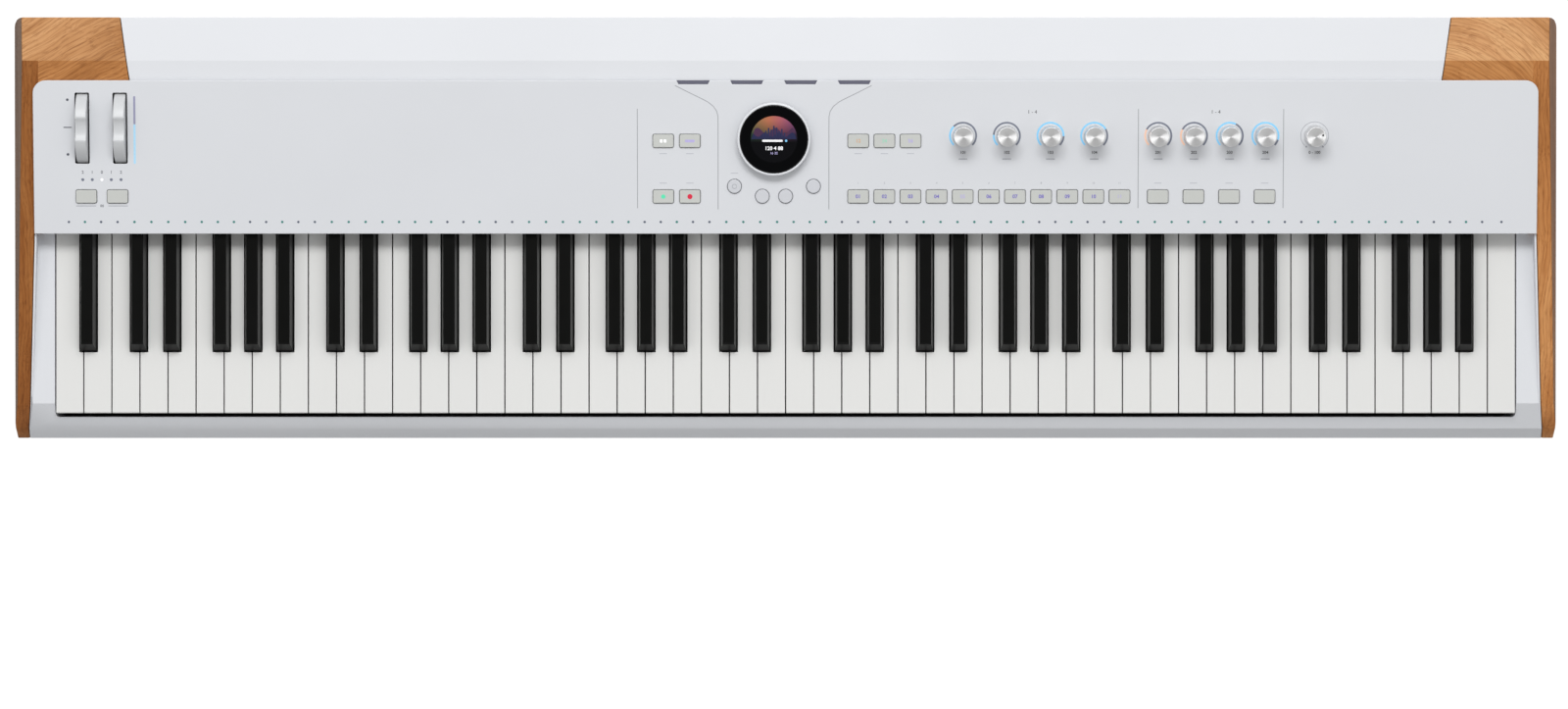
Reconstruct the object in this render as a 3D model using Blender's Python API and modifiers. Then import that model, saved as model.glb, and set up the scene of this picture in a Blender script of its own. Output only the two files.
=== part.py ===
"""Stage keyboard with 88 keys, wooden cheeks, a round dial display, knobs, wheels and buttons.

Metres, +Z up. X runs along the keys and the player sits at -Y. The origin is the middle of the
footprint, on the surface that the feet stand on. What belongs to the sloping control panel is
placed in the panel's own frame: x, the distance v up the slope from its front edge, and the
height h above its top face.
"""
import math

import bmesh
import bpy
from mathutils import Matrix, Vector

# Clearances
GAP = 0.0003
SEAM_GAP = 0.0006
KEY_GAP = 0.0010
BLACK_SIDE_GAP = 0.0009
SPINE_GAP = 0.0008
SPINE_SKIN = 0.0001
CUT_MARGIN = 0.010

# Housing
WALL = 0.0025
END_BLOCK_WIDTH = 0.0095
END_BLOCK_RIM = 0.0016
END_BLOCK_LAP = 0.006
WELL_CORNER_RADIUS = 0.003
REAR_DECK_DEPTH = 0.0527
FOOT_HEIGHT = 0.0092
FOOT_RADIUS = 0.014
FOOT_SOLE_RADIUS = 0.0123
FOOT_CHAMFER_HEIGHT = 0.0032
FOOT_INSET_X = 0.090
FOOT_INSET_Y = 0.036
TRAY_FLOOR = 0.0025
TRAY_RIM_HEIGHT = 0.012
TRAY_RIM_INSET = 0.008
TRAY_RIM_FROM_WELL = 0.006
TRAY_RIB_HEIGHT = 0.004
TRAY_RIB_WIDTH = 0.004
TRAY_RIB_SETBACK = 0.020
TRAY_REAR_BAR_INSET = 0.108
CHEEK_THICKNESS = 0.0262
CHEEK_THICKNESS_OPEN = 0.0203
CHEEK_THICKNESS_BEVEL = 0.0152
CHEEK_THICKNESS_FRONT = 0.0110
CHEEK_OUTER_TAPER = 0.0015
CHEEK_GROUND = 0.0095
CHEEK_BLOCK_WIDTH = 0.0930
CHEEK_SEAM_SKEW = 0.0078
CHEEK_BLOCK_LAP = 0.0023
CHEEK_CORNER_RADIUS = 0.007
CHEEK_LEAN_START = 0.060
CHEEK_LEAN_RATIO = 0.2875
FRONT_RAIL_DEPTH = 0.0183
FRONT_FACE_HEIGHT = 0.063
FRONT_EDGE_HEIGHT = 0.050
FRONT_FACE_LEAN = 0.0085
FRONT_BEVEL_LENGTH = 0.0215
RIDGE_TO_REAR = 0.0362
RIDGE_DROP = 0.0026
DECK_SHELF = 0.006

# Control panel
PANEL_SLOPE = math.radians(5.0)
PANEL_FRONT_FROM_RAIL = 0.1535
PANEL_FRONT_HEIGHT = 0.092
PANEL_FROM_SIDE = 0.0210
PANEL_DEPTH = 0.128
PANEL_THICKNESS = 0.003
PANEL_CORNER_RADIUS = 0.0107
NOTCHES_FROM_LEFT = (0.5496, 0.5943, 0.6391, 0.6838)
NOTCH_OUTER_WIDTH = 0.0278
NOTCH_INNER_WIDTH = 0.0245
NOTCH_DEPTH = 0.0033

# Keys
KEY_PITCH = 0.0235
WHITE_KEYS = 52
KEY_TOP = 0.075
KEY_BODY_HEIGHT = 0.015
KEY_FRONT_CLEARANCE = 0.0034
LIP_HEIGHT = 0.022
LIP_THICKNESS = 0.0035
LIP_CHAMFER = 0.0008
BLACK_SETBACK = 0.052
BLACK_RISE = 0.012
BLACK_BASE_WIDTH = 0.0137
BLACK_TOP_WIDTH = 0.0097
BLACK_NOSE_LENGTH = 0.0063
BLACK_HIDDEN_HEAD = 0.003
TAIL_HEIGHT = 0.012
TAIL_DROP_LENGTH = 0.006
PIVOT_BEHIND_PANEL_EDGE = 0.0402
TAIL_STEP = 0.0050
SPINE_START = 0.0058
TAIL_LENGTH = 0.0110
BLACK_AFTER = {"C": 0.968, "D": 1.155, "F": 0.920, "G": 1.040, "A": 1.175}
LETTERS = "CDEFGAB"
FIRST_LETTER = "A"
SINGLE_OCTAVE = 4
WHITE_TRAVEL = 0.010

# Keybed frame
FRAME_SHEET = 0.0025
FRAME_FRONT_SETBACK = 0.014
FRAME_STOP_LENGTH = 0.052
FULCRUM_WIDTH = 0.005
FRAME_REAR_FLANGE = 0.0135
GUSSET_COUNT = 9
GUSSET_THICKNESS = 0.003
GUSSET_LENGTH = 0.030

# Wheels
PITCH_WHEEL_FROM_LEFT = 0.0408
MOD_WHEEL_FROM_LEFT = 0.0724
WHEEL_FROM_REAR = 0.0399
WHEEL_RADIUS = 0.034
WHEEL_PROTRUSION = 0.0134
WHEEL_WIDTH = 0.0102
WHEEL_EDGE = 0.0008
WHEEL_HUB_RADIUS = 0.0075
WHEEL_HUB_LENGTH = 0.020
AXLE_RADIUS = 0.003
SCALLOP_RADIUS = 0.016
SCALLOP_DEPTH = 0.0043
SLOT_WIDTH = 0.0120
SLOT_LENGTH = 0.0592
SLOT_CORNER = 0.0010
BRACKET_SHEET = 0.002
BRACKET_MARGIN = 0.0045
BRACKET_CLEARANCE = 0.0015
BRACKET_EAR_WIDTH = 0.020
BRACKET_EAR_BELOW_AXLE = 0.007

# Buttons
BUTTON_WIDTH = 0.0170
BUTTON_DEPTH = 0.0107
BUTTON_CORNER = 0.0012
BUTTON_CLEARANCE = 0.00035
BUTTON_RISE = 0.0014
BUTTON_STRIP_THICKNESS = 0.0015
BUTTON_STRIP_MARGIN = 0.0018
BUTTON_TRAVEL = 0.0008
BUTTON_ROW_FROM_REAR = 0.0968
UPPER_ROW_FROM_REAR = 0.0504
OCTAVE_BUTTONS_FROM_LEFT = (0.0438, 0.0698)
MODE_BUTTONS_FROM_LEFT = (0.5246, 0.5468)
SOUND_BUTTONS_FROM_LEFT = 0.6870
SOUND_BUTTON_PITCH = 0.02178
SOUND_BUTTON_COUNT = 11
PART_BUTTON_COUNT = 3
EFFECT_BUTTONS_FROM_LEFT = 0.9367
EFFECT_BUTTON_PITCH = 0.02967
EFFECT_BUTTON_COUNT = 4
ROUND_BUTTON_RADIUS = 0.0057
ROUND_BUTTON_RISE = 0.0016
ROUND_BUTTON_CROWN = 0.0006
ROUND_BUTTON_CROWN_WIDTH = 0.0011
ROUND_BUTTON_FLANGE = 0.0012
STEM_RADIUS = 0.0015

# Display and dial
DISPLAY_FROM_LEFT = 0.6168
DISPLAY_FROM_REAR = 0.0486
GLASS_RADIUS = 0.0283
GLASS_RISE = 0.0070
DIAL_RADIUS = 0.0305
DIAL_RISE = 0.0076
DIAL_LIFT = 0.0010
DIAL_LEDGE = 0.0012
DISPLAY_STEM_RADIUS = 0.0264
DISPLAY_STEM_CLEARANCE = 0.0006
DISPLAY_BODY_RADIUS = 0.0286
DISPLAY_BUTTON_OUTER = (0.0329, -0.0397)
DISPLAY_BUTTON_INNER = (0.0097, -0.0480)

# Knobs
KNOBS_FROM_REAR = 0.0461
SOUND_KNOBS_FROM_LEFT = 0.7743
SOUND_KNOB_PITCH = 0.0364
EFFECT_KNOBS_FROM_LEFT = 0.9368
EFFECT_KNOB_PITCH = 0.02975
KNOBS_PER_GROUP = 4
VOLUME_KNOB_FROM_LEFT = 1.0670
KNOB_RADIUS = 0.0086
KNOB_TOP_RADIUS = 0.0082
KNOB_HEIGHT = 0.0160
KNOB_CHAMFER = 0.0005
KNOB_DISH = 0.0004
KNOB_LIFT = 0.0006
KNOB_SHAFT_RADIUS = 0.003
KNOB_HOLE_CLEARANCE = 0.0005

# Control board
BOARD_THICKNESS = 0.0016
BOARD_DEPTH_BELOW_PANEL = 0.0062
BOARD_FRONT_V = 0.012
BOARD_STRIP_REAR_V = 0.046
BOARD_FROM_REAR = 0.016
BOARD_MAIN_FROM_LEFT = 0.5015
BOARD_MARGIN = 0.020
ENCODER_SIDE = 0.012

# Rear sockets
SOCKET_ROW_HEIGHT = 0.047
SOCKET_PLATE_THICKNESS = 0.002
SOCKET_WINDOW_HEIGHT = 0.026
SOCKET_WINDOW_MARGIN = 0.007
SOCKET_PLATE_LAP = 0.005
SOCKET_RECESS = 0.0005
JACK_X = (-0.020, 0.002, 0.024, 0.046)
JACK_RADIUS = 0.0033
JACK_BARREL_RADIUS = 0.0058
JACK_BARREL_LENGTH = 0.034
DIN_X = (-0.086, -0.058)
DIN_RADIUS = 0.0076
DIN_BARREL_RADIUS = 0.0098
DIN_DEPTH = 0.010
USB_X = 0.072
USB_WIDTH = 0.0092
USB_HEIGHT = 0.0034
USB_DEPTH = 0.008
DC_X = 0.092
DC_RADIUS = 0.0032
DC_BARREL_RADIUS = 0.0055
DC_DEPTH = 0.010

# Facets
ROUND_STEPS = 20
SMALL_STEPS = 12
DIAL_STEPS = 40
WHEEL_STEPS = 24
SCALLOP_STEPS = 20
BARREL_STEPS = 10
PLUNGER_STEPS = 6
CORNER_STEPS = 3
BUTTON_CORNER_STEPS = 2
HIDDEN_STEPS = 8

# Housing, worked out: the keys, the end blocks and the cheeks add up to the width
KEYS_HALF_WIDTH = WHITE_KEYS * KEY_PITCH / 2
KEY_WELL_X = KEYS_HALF_WIDTH + KEY_GAP / 2
SHELL_X = KEY_WELL_X + END_BLOCK_WIDTH
CHEEK_INNER_X = SHELL_X + GAP
CHEEK_OUTER_X = CHEEK_INNER_X + CHEEK_THICKNESS
BODY_WIDTH = 2 * CHEEK_OUTER_X
PANEL_REACH = PANEL_DEPTH * math.cos(PANEL_SLOPE)
BODY_DEPTH = FRONT_RAIL_DEPTH + PANEL_FRONT_FROM_RAIL + PANEL_REACH + REAR_DECK_DEPTH
FRONT_Y = -BODY_DEPTH / 2
REAR_Y = BODY_DEPTH / 2
CHEEK_BLOCK_DEPTH = REAR_DECK_DEPTH + CHEEK_BLOCK_LAP
TRAY_BOTTOM = FOOT_HEIGHT + GAP
TRAY_TOP = TRAY_BOTTOM + TRAY_FLOOR
SHELL_BOTTOM = TRAY_TOP + GAP
RAIL_BACK_Y = FRONT_Y + FRONT_RAIL_DEPTH
PANEL_FRONT_Y = RAIL_BACK_Y + PANEL_FRONT_FROM_RAIL
DECK_DROP = PANEL_THICKNESS + GAP
BEVEL_FRONT_Y = FRONT_Y + FRONT_FACE_LEAN
BEVEL_REAR_Y = BEVEL_FRONT_Y + FRONT_BEVEL_LENGTH
RIDGE_Y = REAR_Y - RIDGE_TO_REAR
PANEL_REAR_Y = PANEL_FRONT_Y + PANEL_REACH
DECK_FRONT_Y = PANEL_REAR_Y - DECK_SHELF

# Keys, worked out
KEY_FRONT_Y = RAIL_BACK_Y + KEY_FRONT_CLEARANCE
KEY_UNDER = KEY_TOP - KEY_BODY_HEIGHT
TAIL_TOP = KEY_UNDER + TAIL_HEIGHT
WHITE_SPINE_TOP = KEY_UNDER + (TAIL_HEIGHT - SPINE_GAP) / 2
BLACK_SPINE_UNDER = WHITE_SPINE_TOP + SPINE_GAP
BLACK_FRONT_Y = KEY_FRONT_Y + BLACK_SETBACK
PIVOT_Y = PANEL_FRONT_Y + PIVOT_BEHIND_PANEL_EDGE
PIVOT_Z = (WHITE_SPINE_TOP + BLACK_SPINE_UNDER) / 2
TAIL_STEP_Y = PIVOT_Y + TAIL_STEP
SPINE_FRONT_Y = PIVOT_Y + SPINE_START
TAIL_END_Y = PIVOT_Y + TAIL_LENGTH
FRAME_BOTTOM = TRAY_TOP + TRAY_RIB_HEIGHT + GAP
FRAME_FRONT_Y = KEY_FRONT_Y + FRAME_FRONT_SETBACK
FRAME_STOP_Y = FRAME_FRONT_Y + FRAME_STOP_LENGTH

# Places along the panel, worked out
PANEL_WIDTH = 2 * (CHEEK_OUTER_X - PANEL_FROM_SIDE)
PANEL_LEFT_X = -PANEL_WIDTH / 2
NOTCH_CENTRES_X = [PANEL_LEFT_X + place for place in NOTCHES_FROM_LEFT]
PITCH_WHEEL_X = PANEL_LEFT_X + PITCH_WHEEL_FROM_LEFT
MOD_WHEEL_X = PANEL_LEFT_X + MOD_WHEEL_FROM_LEFT
OCTAVE_BUTTONS_X = [PANEL_LEFT_X + place for place in OCTAVE_BUTTONS_FROM_LEFT]
MODE_BUTTONS_X = [PANEL_LEFT_X + place for place in MODE_BUTTONS_FROM_LEFT]
SOUND_BUTTON_FIRST_X = PANEL_LEFT_X + SOUND_BUTTONS_FROM_LEFT
EFFECT_BUTTON_FIRST_X = PANEL_LEFT_X + EFFECT_BUTTONS_FROM_LEFT
DISPLAY_X = PANEL_LEFT_X + DISPLAY_FROM_LEFT
SOUND_KNOB_FIRST_X = PANEL_LEFT_X + SOUND_KNOBS_FROM_LEFT
EFFECT_KNOB_FIRST_X = PANEL_LEFT_X + EFFECT_KNOBS_FROM_LEFT
VOLUME_KNOB_X = PANEL_LEFT_X + VOLUME_KNOB_FROM_LEFT
BOARD_MAIN_LEFT_X = PANEL_LEFT_X + BOARD_MAIN_FROM_LEFT
WHEEL_V = PANEL_DEPTH - WHEEL_FROM_REAR
BUTTON_ROW_V = PANEL_DEPTH - BUTTON_ROW_FROM_REAR
UPPER_ROW_V = PANEL_DEPTH - UPPER_ROW_FROM_REAR
DISPLAY_V = PANEL_DEPTH - DISPLAY_FROM_REAR
KNOB_V = PANEL_DEPTH - KNOBS_FROM_REAR
BOARD_REAR_V = PANEL_DEPTH - BOARD_FROM_REAR

# Panel pieces, worked out: heights above the panel's top face
PANEL_UNDER = -PANEL_THICKNESS
FLANGE_TOP = PANEL_UNDER - GAP
BOARD_TOP = PANEL_UNDER - BOARD_DEPTH_BELOW_PANEL
STEM_BOTTOM = BOARD_TOP + BUTTON_TRAVEL + GAP
WHEEL_AXLE_H = WHEEL_PROTRUSION - WHEEL_RADIUS


def clear_scene():
    """Remove what the scene holds."""
    for item in list(bpy.data.objects):
        bpy.data.objects.remove(item, do_unlink=True)


clear_scene()
PARTS = bpy.data.collections.new("stage_keyboard")
CUTTERS = bpy.data.collections.new("cutters")
bpy.context.scene.collection.children.link(PARTS)
bpy.context.scene.collection.children.link(CUTTERS)


def finish_material(name, colour, roughness, metallic=0.0):
    """Return a Principled material of one colour."""
    material = bpy.data.materials.new(name)
    material.use_nodes = True
    shader = material.node_tree.nodes["Principled BSDF"]
    shader.inputs["Base Color"].default_value = (*colour, 1.0)
    shader.inputs["Roughness"].default_value = roughness
    shader.inputs["Metallic"].default_value = metallic
    material.diffuse_color = (*colour, 1.0)
    return material


def panel_frame():
    """Return the empty that carries the control panel's frame."""
    frame = bpy.data.objects.new("panel_frame", None)
    frame.location = (0.0, PANEL_FRONT_Y, PANEL_FRONT_HEIGHT)
    frame.rotation_euler = (PANEL_SLOPE, 0.0, 0.0)
    PARTS.objects.link(frame)
    return frame


PANEL = panel_frame()


def solid_object(name, mesh, origin=(0.0, 0.0, 0.0), parent=None):
    """Make an object whose origin is moved to a point of the mesh's own frame."""
    mesh.transform(Matrix.Translation(-Vector(origin)))
    item = bpy.data.objects.new(name, mesh)
    item.location = origin
    item.parent = parent
    PARTS.objects.link(item)
    return item


def as_cutter(item):
    """Move an object to the cutters, which are neither rendered nor counted."""
    PARTS.objects.unlink(item)
    CUTTERS.objects.link(item)
    item.hide_render = True
    item.display_type = "WIRE"
    return item


def paint(item, material, smooth_angle=0.0):
    """Give an object its material and, on round pieces, smooth shading."""
    item.data.materials.clear()
    item.data.materials.append(material)
    if smooth_angle > 0.0:
        item.data.shade_smooth()
        item.data.set_sharp_from_angle(angle=smooth_angle)
    return item


def boolean(item, other, operation="DIFFERENCE"):
    """Add an exact Boolean of the other object, which becomes a cutter."""
    if other.name not in CUTTERS.objects:
        as_cutter(other)
    step = item.modifiers.new(operation.lower(), "BOOLEAN")
    step.operation = operation
    step.solver = "EXACT"
    step.object = other
    return item


def outline_mesh(name, outlines, low, high):
    """Return the closed mesh of flat outlines, nested ones as holes, from z low to z high."""
    curve = bpy.data.curves.new(name, "CURVE")
    curve.dimensions = "2D"
    curve.fill_mode = "BOTH"
    curve.extrude = (high - low) / 2
    for outline in outlines:
        spline = curve.splines.new("POLY")
        spline.points.add(len(outline) - 1)
        for point, (x, y) in zip(spline.points, outline):
            point.co = (x, y, 0.0, 1.0)
        spline.use_cyclic_u = True
    item = bpy.data.objects.new(name, curve)
    PARTS.objects.link(item)
    graph = bpy.context.evaluated_depsgraph_get()
    mesh = bpy.data.meshes.new_from_object(item.evaluated_get(graph))
    bpy.data.objects.remove(item, do_unlink=True)
    bpy.data.curves.remove(curve)
    shape = bmesh.new()
    shape.from_mesh(mesh)
    bmesh.ops.remove_doubles(shape, verts=shape.verts, dist=0.000001)
    bmesh.ops.recalc_face_normals(shape, faces=shape.faces)
    shape.to_mesh(mesh)
    shape.free()
    mesh.transform(Matrix.Translation((0.0, 0.0, (low + high) / 2)))
    mesh.name = name
    return mesh


def side_mesh(name, profile, left, right):
    """Return the closed mesh of a (y, z) profile that runs along X from left to right."""
    mesh = outline_mesh(name, [profile], left, right)
    turn = Matrix(((0, 0, 1, 0), (1, 0, 0, 0), (0, 1, 0, 0), (0, 0, 0, 1)))
    mesh.transform(turn)
    return mesh


def box_mesh(name, low, high):
    """Return a box between two corners."""
    low = Vector(low)
    high = Vector(high)
    shape = bmesh.new()
    bmesh.ops.create_cube(shape, size=1.0)
    bmesh.ops.scale(shape, vec=high - low, verts=shape.verts)
    bmesh.ops.translate(shape, vec=(low + high) / 2, verts=shape.verts)
    mesh = bpy.data.meshes.new(name)
    shape.to_mesh(mesh)
    shape.free()
    return mesh


def cylinder_mesh(name, radius, start, end, steps=SMALL_STEPS):
    """Return a closed cylinder between two points."""
    start = Vector(start)
    end = Vector(end)
    along = end - start
    shape = bmesh.new()
    bmesh.ops.create_cone(shape, cap_ends=True, segments=steps, radius1=radius,
                          radius2=radius, depth=along.length)
    turn = Vector((0.0, 0.0, 1.0)).rotation_difference(along).to_matrix()
    bmesh.ops.rotate(shape, matrix=turn, verts=shape.verts)
    bmesh.ops.translate(shape, vec=(start + end) / 2, verts=shape.verts)
    mesh = bpy.data.meshes.new(name)
    shape.to_mesh(mesh)
    shape.free()
    return mesh


def joined_mesh(name, meshes):
    """Return one mesh of several that stay apart from each other."""
    shape = bmesh.new()
    for mesh in meshes:
        shape.from_mesh(mesh)
        bpy.data.meshes.remove(mesh)
    whole = bpy.data.meshes.new(name)
    shape.to_mesh(whole)
    shape.free()
    return whole


def turned_object(name, profile, steps, origin, parent=None, closed=False, turn=(0.0, 0.0, 0.0)):
    """Turn a profile of (radius, height) points, top to bottom on its outer side, about Z."""
    edges = [(i, i + 1) for i in range(len(profile) - 1)]
    if closed:
        edges.append((len(profile) - 1, 0))
    mesh = bpy.data.meshes.new(name)
    mesh.from_pydata([(radius, 0.0, height) for radius, height in profile], edges, [])
    item = bpy.data.objects.new(name, mesh)
    item.location = origin
    item.rotation_euler = turn
    item.parent = parent
    PARTS.objects.link(item)
    screw = item.modifiers.new("turn", "SCREW")
    screw.axis = "Z"
    screw.steps = steps
    screw.render_steps = steps
    screw.use_merge_vertices = True
    screw.merge_threshold = 0.00001
    screw.use_smooth_shade = False
    return item


def rounded_rectangle(width, depth, radius, centre=(0.0, 0.0), steps=BUTTON_CORNER_STEPS):
    """Return the outline of a rectangle with round corners."""
    points = []
    for corner in range(4):
        sign_x = 1 if corner in (0, 3) else -1
        sign_y = 1 if corner < 2 else -1
        middle_x = centre[0] + sign_x * (width / 2 - radius)
        middle_y = centre[1] + sign_y * (depth / 2 - radius)
        for step in range(steps):
            angle = math.radians(90 * corner + 90 * step / (steps - 1))
            points.append((middle_x + radius * math.cos(angle), middle_y + radius * math.sin(angle)))
    return points


def circle(radius, centre, steps=ROUND_STEPS):
    """Return the outline of a circle."""
    angles = [2 * math.pi * step / steps for step in range(steps)]
    return [(centre[0] + radius * math.cos(a), centre[1] + radius * math.sin(a)) for a in angles]


def rectangle(left, right, front, rear):
    """Return the outline of a plain rectangle."""
    return [(left, front), (right, front), (right, rear), (left, rear)]


def offset_polygon(points, distances):
    """Move each edge of a counterclockwise polygon inwards by its own distance."""
    lines = []
    for index, distance in enumerate(distances):
        start = Vector(points[index])
        along = (Vector(points[(index + 1) % len(points)]) - start).normalized()
        inward = Vector((-along.y, along.x))
        lines.append((start + inward * distance, along))
    moved = []
    for index in range(len(points)):
        point_a, along_a = lines[index - 1]
        point_b, along_b = lines[index]
        across = along_a.x * along_b.y - along_a.y * along_b.x
        step = ((point_b.x - point_a.x) * along_b.y - (point_b.y - point_a.y) * along_b.x) / across
        moved.append(tuple(point_a + along_a * step))
    return moved


def deck_height(y):
    """Return the height of the plane that the panel lies on."""
    edge = PANEL_FRONT_HEIGHT - DECK_DROP / math.cos(PANEL_SLOPE)
    return edge + (y - PANEL_FRONT_Y) * math.tan(PANEL_SLOPE)


def housing_profile(bottom, inset=0.0):
    """Return the housing's side profile, counterclockwise seen from +X."""
    points = [
        (FRONT_Y, bottom),
        (REAR_Y, bottom),
        (REAR_Y, deck_height(RIDGE_Y) - RIDGE_DROP),
        (RIDGE_Y, deck_height(RIDGE_Y)),
        (BEVEL_REAR_Y, deck_height(BEVEL_REAR_Y)),
        (BEVEL_FRONT_Y, FRONT_FACE_HEIGHT),
        (FRONT_Y, FRONT_EDGE_HEIGHT),
    ]
    if inset == 0.0:
        return points
    return offset_polygon(points, [-CUT_MARGIN] + [inset] * (len(points) - 1))


def extruded_housing(name, left, right, bottom, inset=0.0):
    """Return an object with the housing's side profile between two X positions."""
    return solid_object(name, side_mesh(name, housing_profile(bottom, inset), left, right))


def cheek_edge(shift, front_y):
    """Return the right cheek's inner edge from front_y to the rear, moved towards the middle."""
    reach = (BEVEL_REAR_Y - front_y) / (BEVEL_REAR_Y - FRONT_Y)
    thickness = CHEEK_THICKNESS_BEVEL + reach * (CHEEK_THICKNESS_FRONT - CHEEK_THICKNESS_BEVEL)
    return [
        (CHEEK_OUTER_X - thickness - shift, front_y),
        (CHEEK_OUTER_X - CHEEK_THICKNESS_BEVEL - shift, BEVEL_REAR_Y),
        (CHEEK_OUTER_X - CHEEK_THICKNESS_OPEN - shift, PANEL_FRONT_Y),
        (CHEEK_INNER_X - shift, PANEL_FRONT_Y),
    ]


def cheek_zone(name, shift, side):
    """Return a prism over all that lies outside a cheek's inner edge, for cutting the shell."""
    edge = cheek_edge(shift, FRONT_Y - CUT_MARGIN)
    outside = CHEEK_OUTER_X + CUT_MARGIN
    plan = [
        *edge,
        (edge[-1][0], REAR_Y + CUT_MARGIN),
        (outside, REAR_Y + CUT_MARGIN),
        (outside, FRONT_Y - CUT_MARGIN),
    ]
    outline = [(side * x, y) for x, y in plan]
    return solid_object(name, outline_mesh(name, [outline], -CUT_MARGIN, BODY_DEPTH))


def make_bottom_tray(material):
    """Make the floor pan: a plate with an upright rim and ribs under the keybed frame."""
    block_front = REAR_Y - CHEEK_BLOCK_DEPTH - GAP
    right_side = [
        *cheek_edge(GAP, FRONT_Y),
        (SHELL_X, block_front),
        (seam_x(block_front) - GAP, block_front),
        (seam_x(REAR_Y) - GAP, REAR_Y),
    ]
    plan = right_side + [(-x, y) for x, y in reversed(right_side)]
    tray = solid_object("bottom_tray", outline_mesh("bottom_tray", [plan], TRAY_BOTTOM, TRAY_TOP))
    rim_x = KEY_WELL_X + TRAY_RIM_FROM_WELL
    front = FRONT_Y + TRAY_RIM_INSET
    rear = REAR_Y - TRAY_RIM_INSET
    end = DECK_FRONT_Y - TRAY_RIM_INSET
    bar_x = SHELL_X - TRAY_REAR_BAR_INSET
    rim_outlines = [
        [(-rim_x, end), (-rim_x, front), (rim_x, front), (rim_x, end), (rim_x - WALL, end),
         (rim_x - WALL, front + WALL), (WALL - rim_x, front + WALL), (WALL - rim_x, end)],
        rectangle(-bar_x, bar_x, rear - WALL, rear),
    ]
    low = TRAY_TOP - TRAY_FLOOR / 2
    rim = outline_mesh("tray_rim", rim_outlines, low, TRAY_TOP + TRAY_RIM_HEIGHT)
    boolean(tray, solid_object("tray_rim", rim), "UNION")
    ribs = []
    for y in (FRAME_FRONT_Y + TRAY_RIB_SETBACK, (FRAME_FRONT_Y + PIVOT_Y) / 2, PIVOT_Y):
        start = (-KEYS_HALF_WIDTH, y - TRAY_RIB_WIDTH / 2, low)
        end = (KEYS_HALF_WIDTH, y + TRAY_RIB_WIDTH / 2, TRAY_TOP + TRAY_RIB_HEIGHT)
        ribs.append(box_mesh("tray_rib", start, end))
    boolean(tray, solid_object("tray_ribs", joined_mesh("tray_ribs", ribs)), "UNION")
    return paint(tray, material)


def make_feet(material):
    """Make the four rubber feet, wider at the tray than on the table."""
    feet = []
    for depth_name, side_y in (("front", -1), ("rear", 1)):
        for side_name, side_x in (("left", -1), ("right", 1)):
            profile = [
                (0.0, FOOT_HEIGHT),
                (FOOT_RADIUS, FOOT_HEIGHT),
                (FOOT_RADIUS, FOOT_CHAMFER_HEIGHT),
                (FOOT_SOLE_RADIUS, 0.0),
                (0.0, 0.0),
            ]
            place = (side_x * (CHEEK_OUTER_X - FOOT_INSET_X), side_y * (REAR_Y - FOOT_INSET_Y), 0.0)
            foot = turned_object(f"foot_{depth_name}_{side_name}", profile, SMALL_STEPS, place)
            feet.append(paint(foot, material, math.radians(40)))
    return feet


def make_key_surround(material):
    """Make the U moulding round the keys: a front rail and two end blocks, open below."""
    surround = extruded_housing("key_surround", -CHEEK_OUTER_X, CHEEK_OUTER_X, SHELL_BOTTOM)
    well_depth = BODY_DEPTH
    well_outline = rounded_rectangle(2 * KEY_WELL_X, well_depth, WELL_CORNER_RADIUS,
                                     (0.0, RAIL_BACK_Y + well_depth / 2), CORNER_STEPS + 1)
    boolean(surround, solid_object("key_well", outline_mesh("key_well", [well_outline], 0.0, BODY_DEPTH)))
    block_top = deck_height(BEVEL_REAR_Y)
    hollow = extruded_housing("surround_hollow", -CHEEK_OUTER_X, CHEEK_OUTER_X, SHELL_BOTTOM, WALL)
    wall_x = KEY_WELL_X + WALL
    core_low = (-wall_x, RAIL_BACK_Y - WALL, -BODY_DEPTH)
    core = box_mesh("surround_core", core_low, (wall_x, BODY_DEPTH, BODY_DEPTH))
    boolean(hollow, solid_object("surround_core", core))
    lid_low = (-BODY_WIDTH, BEVEL_REAR_Y, block_top - WALL)
    lid = box_mesh("surround_lid", lid_low, (BODY_WIDTH, PANEL_FRONT_Y + END_BLOCK_LAP + WALL, BODY_DEPTH))
    boolean(hollow, solid_object("surround_lid", lid))
    for side, side_name in ((-1, "left"), (1, "right")):
        boolean(surround, cheek_zone(f"surround_{side_name}_edge", SEAM_GAP, side))
        boolean(hollow, cheek_zone(f"hollow_{side_name}_edge", SEAM_GAP + WALL, side))
        rim = cheek_edge(SEAM_GAP + END_BLOCK_RIM, FRONT_Y)[1:]
        recess_rear = PANEL_FRONT_Y + END_BLOCK_LAP
        recess = [(KEYS_HALF_WIDTH, BEVEL_REAR_Y), *rim, (rim[-1][0], recess_rear),
                  (KEYS_HALF_WIDTH, recess_rear)]
        outline = [(side * x, y) for x, y in recess]
        recess_mesh = outline_mesh("end_block_recess", [outline], block_top, BODY_DEPTH)
        boolean(surround, solid_object(f"end_block_{side_name}_recess", recess_mesh))
    boolean(surround, hollow)
    rear_low = (-BODY_WIDTH, DECK_FRONT_Y - GAP, 0.0)
    rear = box_mesh("surround_rear", rear_low, (BODY_WIDTH, BODY_DEPTH, BODY_DEPTH))
    boolean(surround, solid_object("surround_rear", rear))
    return paint(surround, material)


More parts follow.
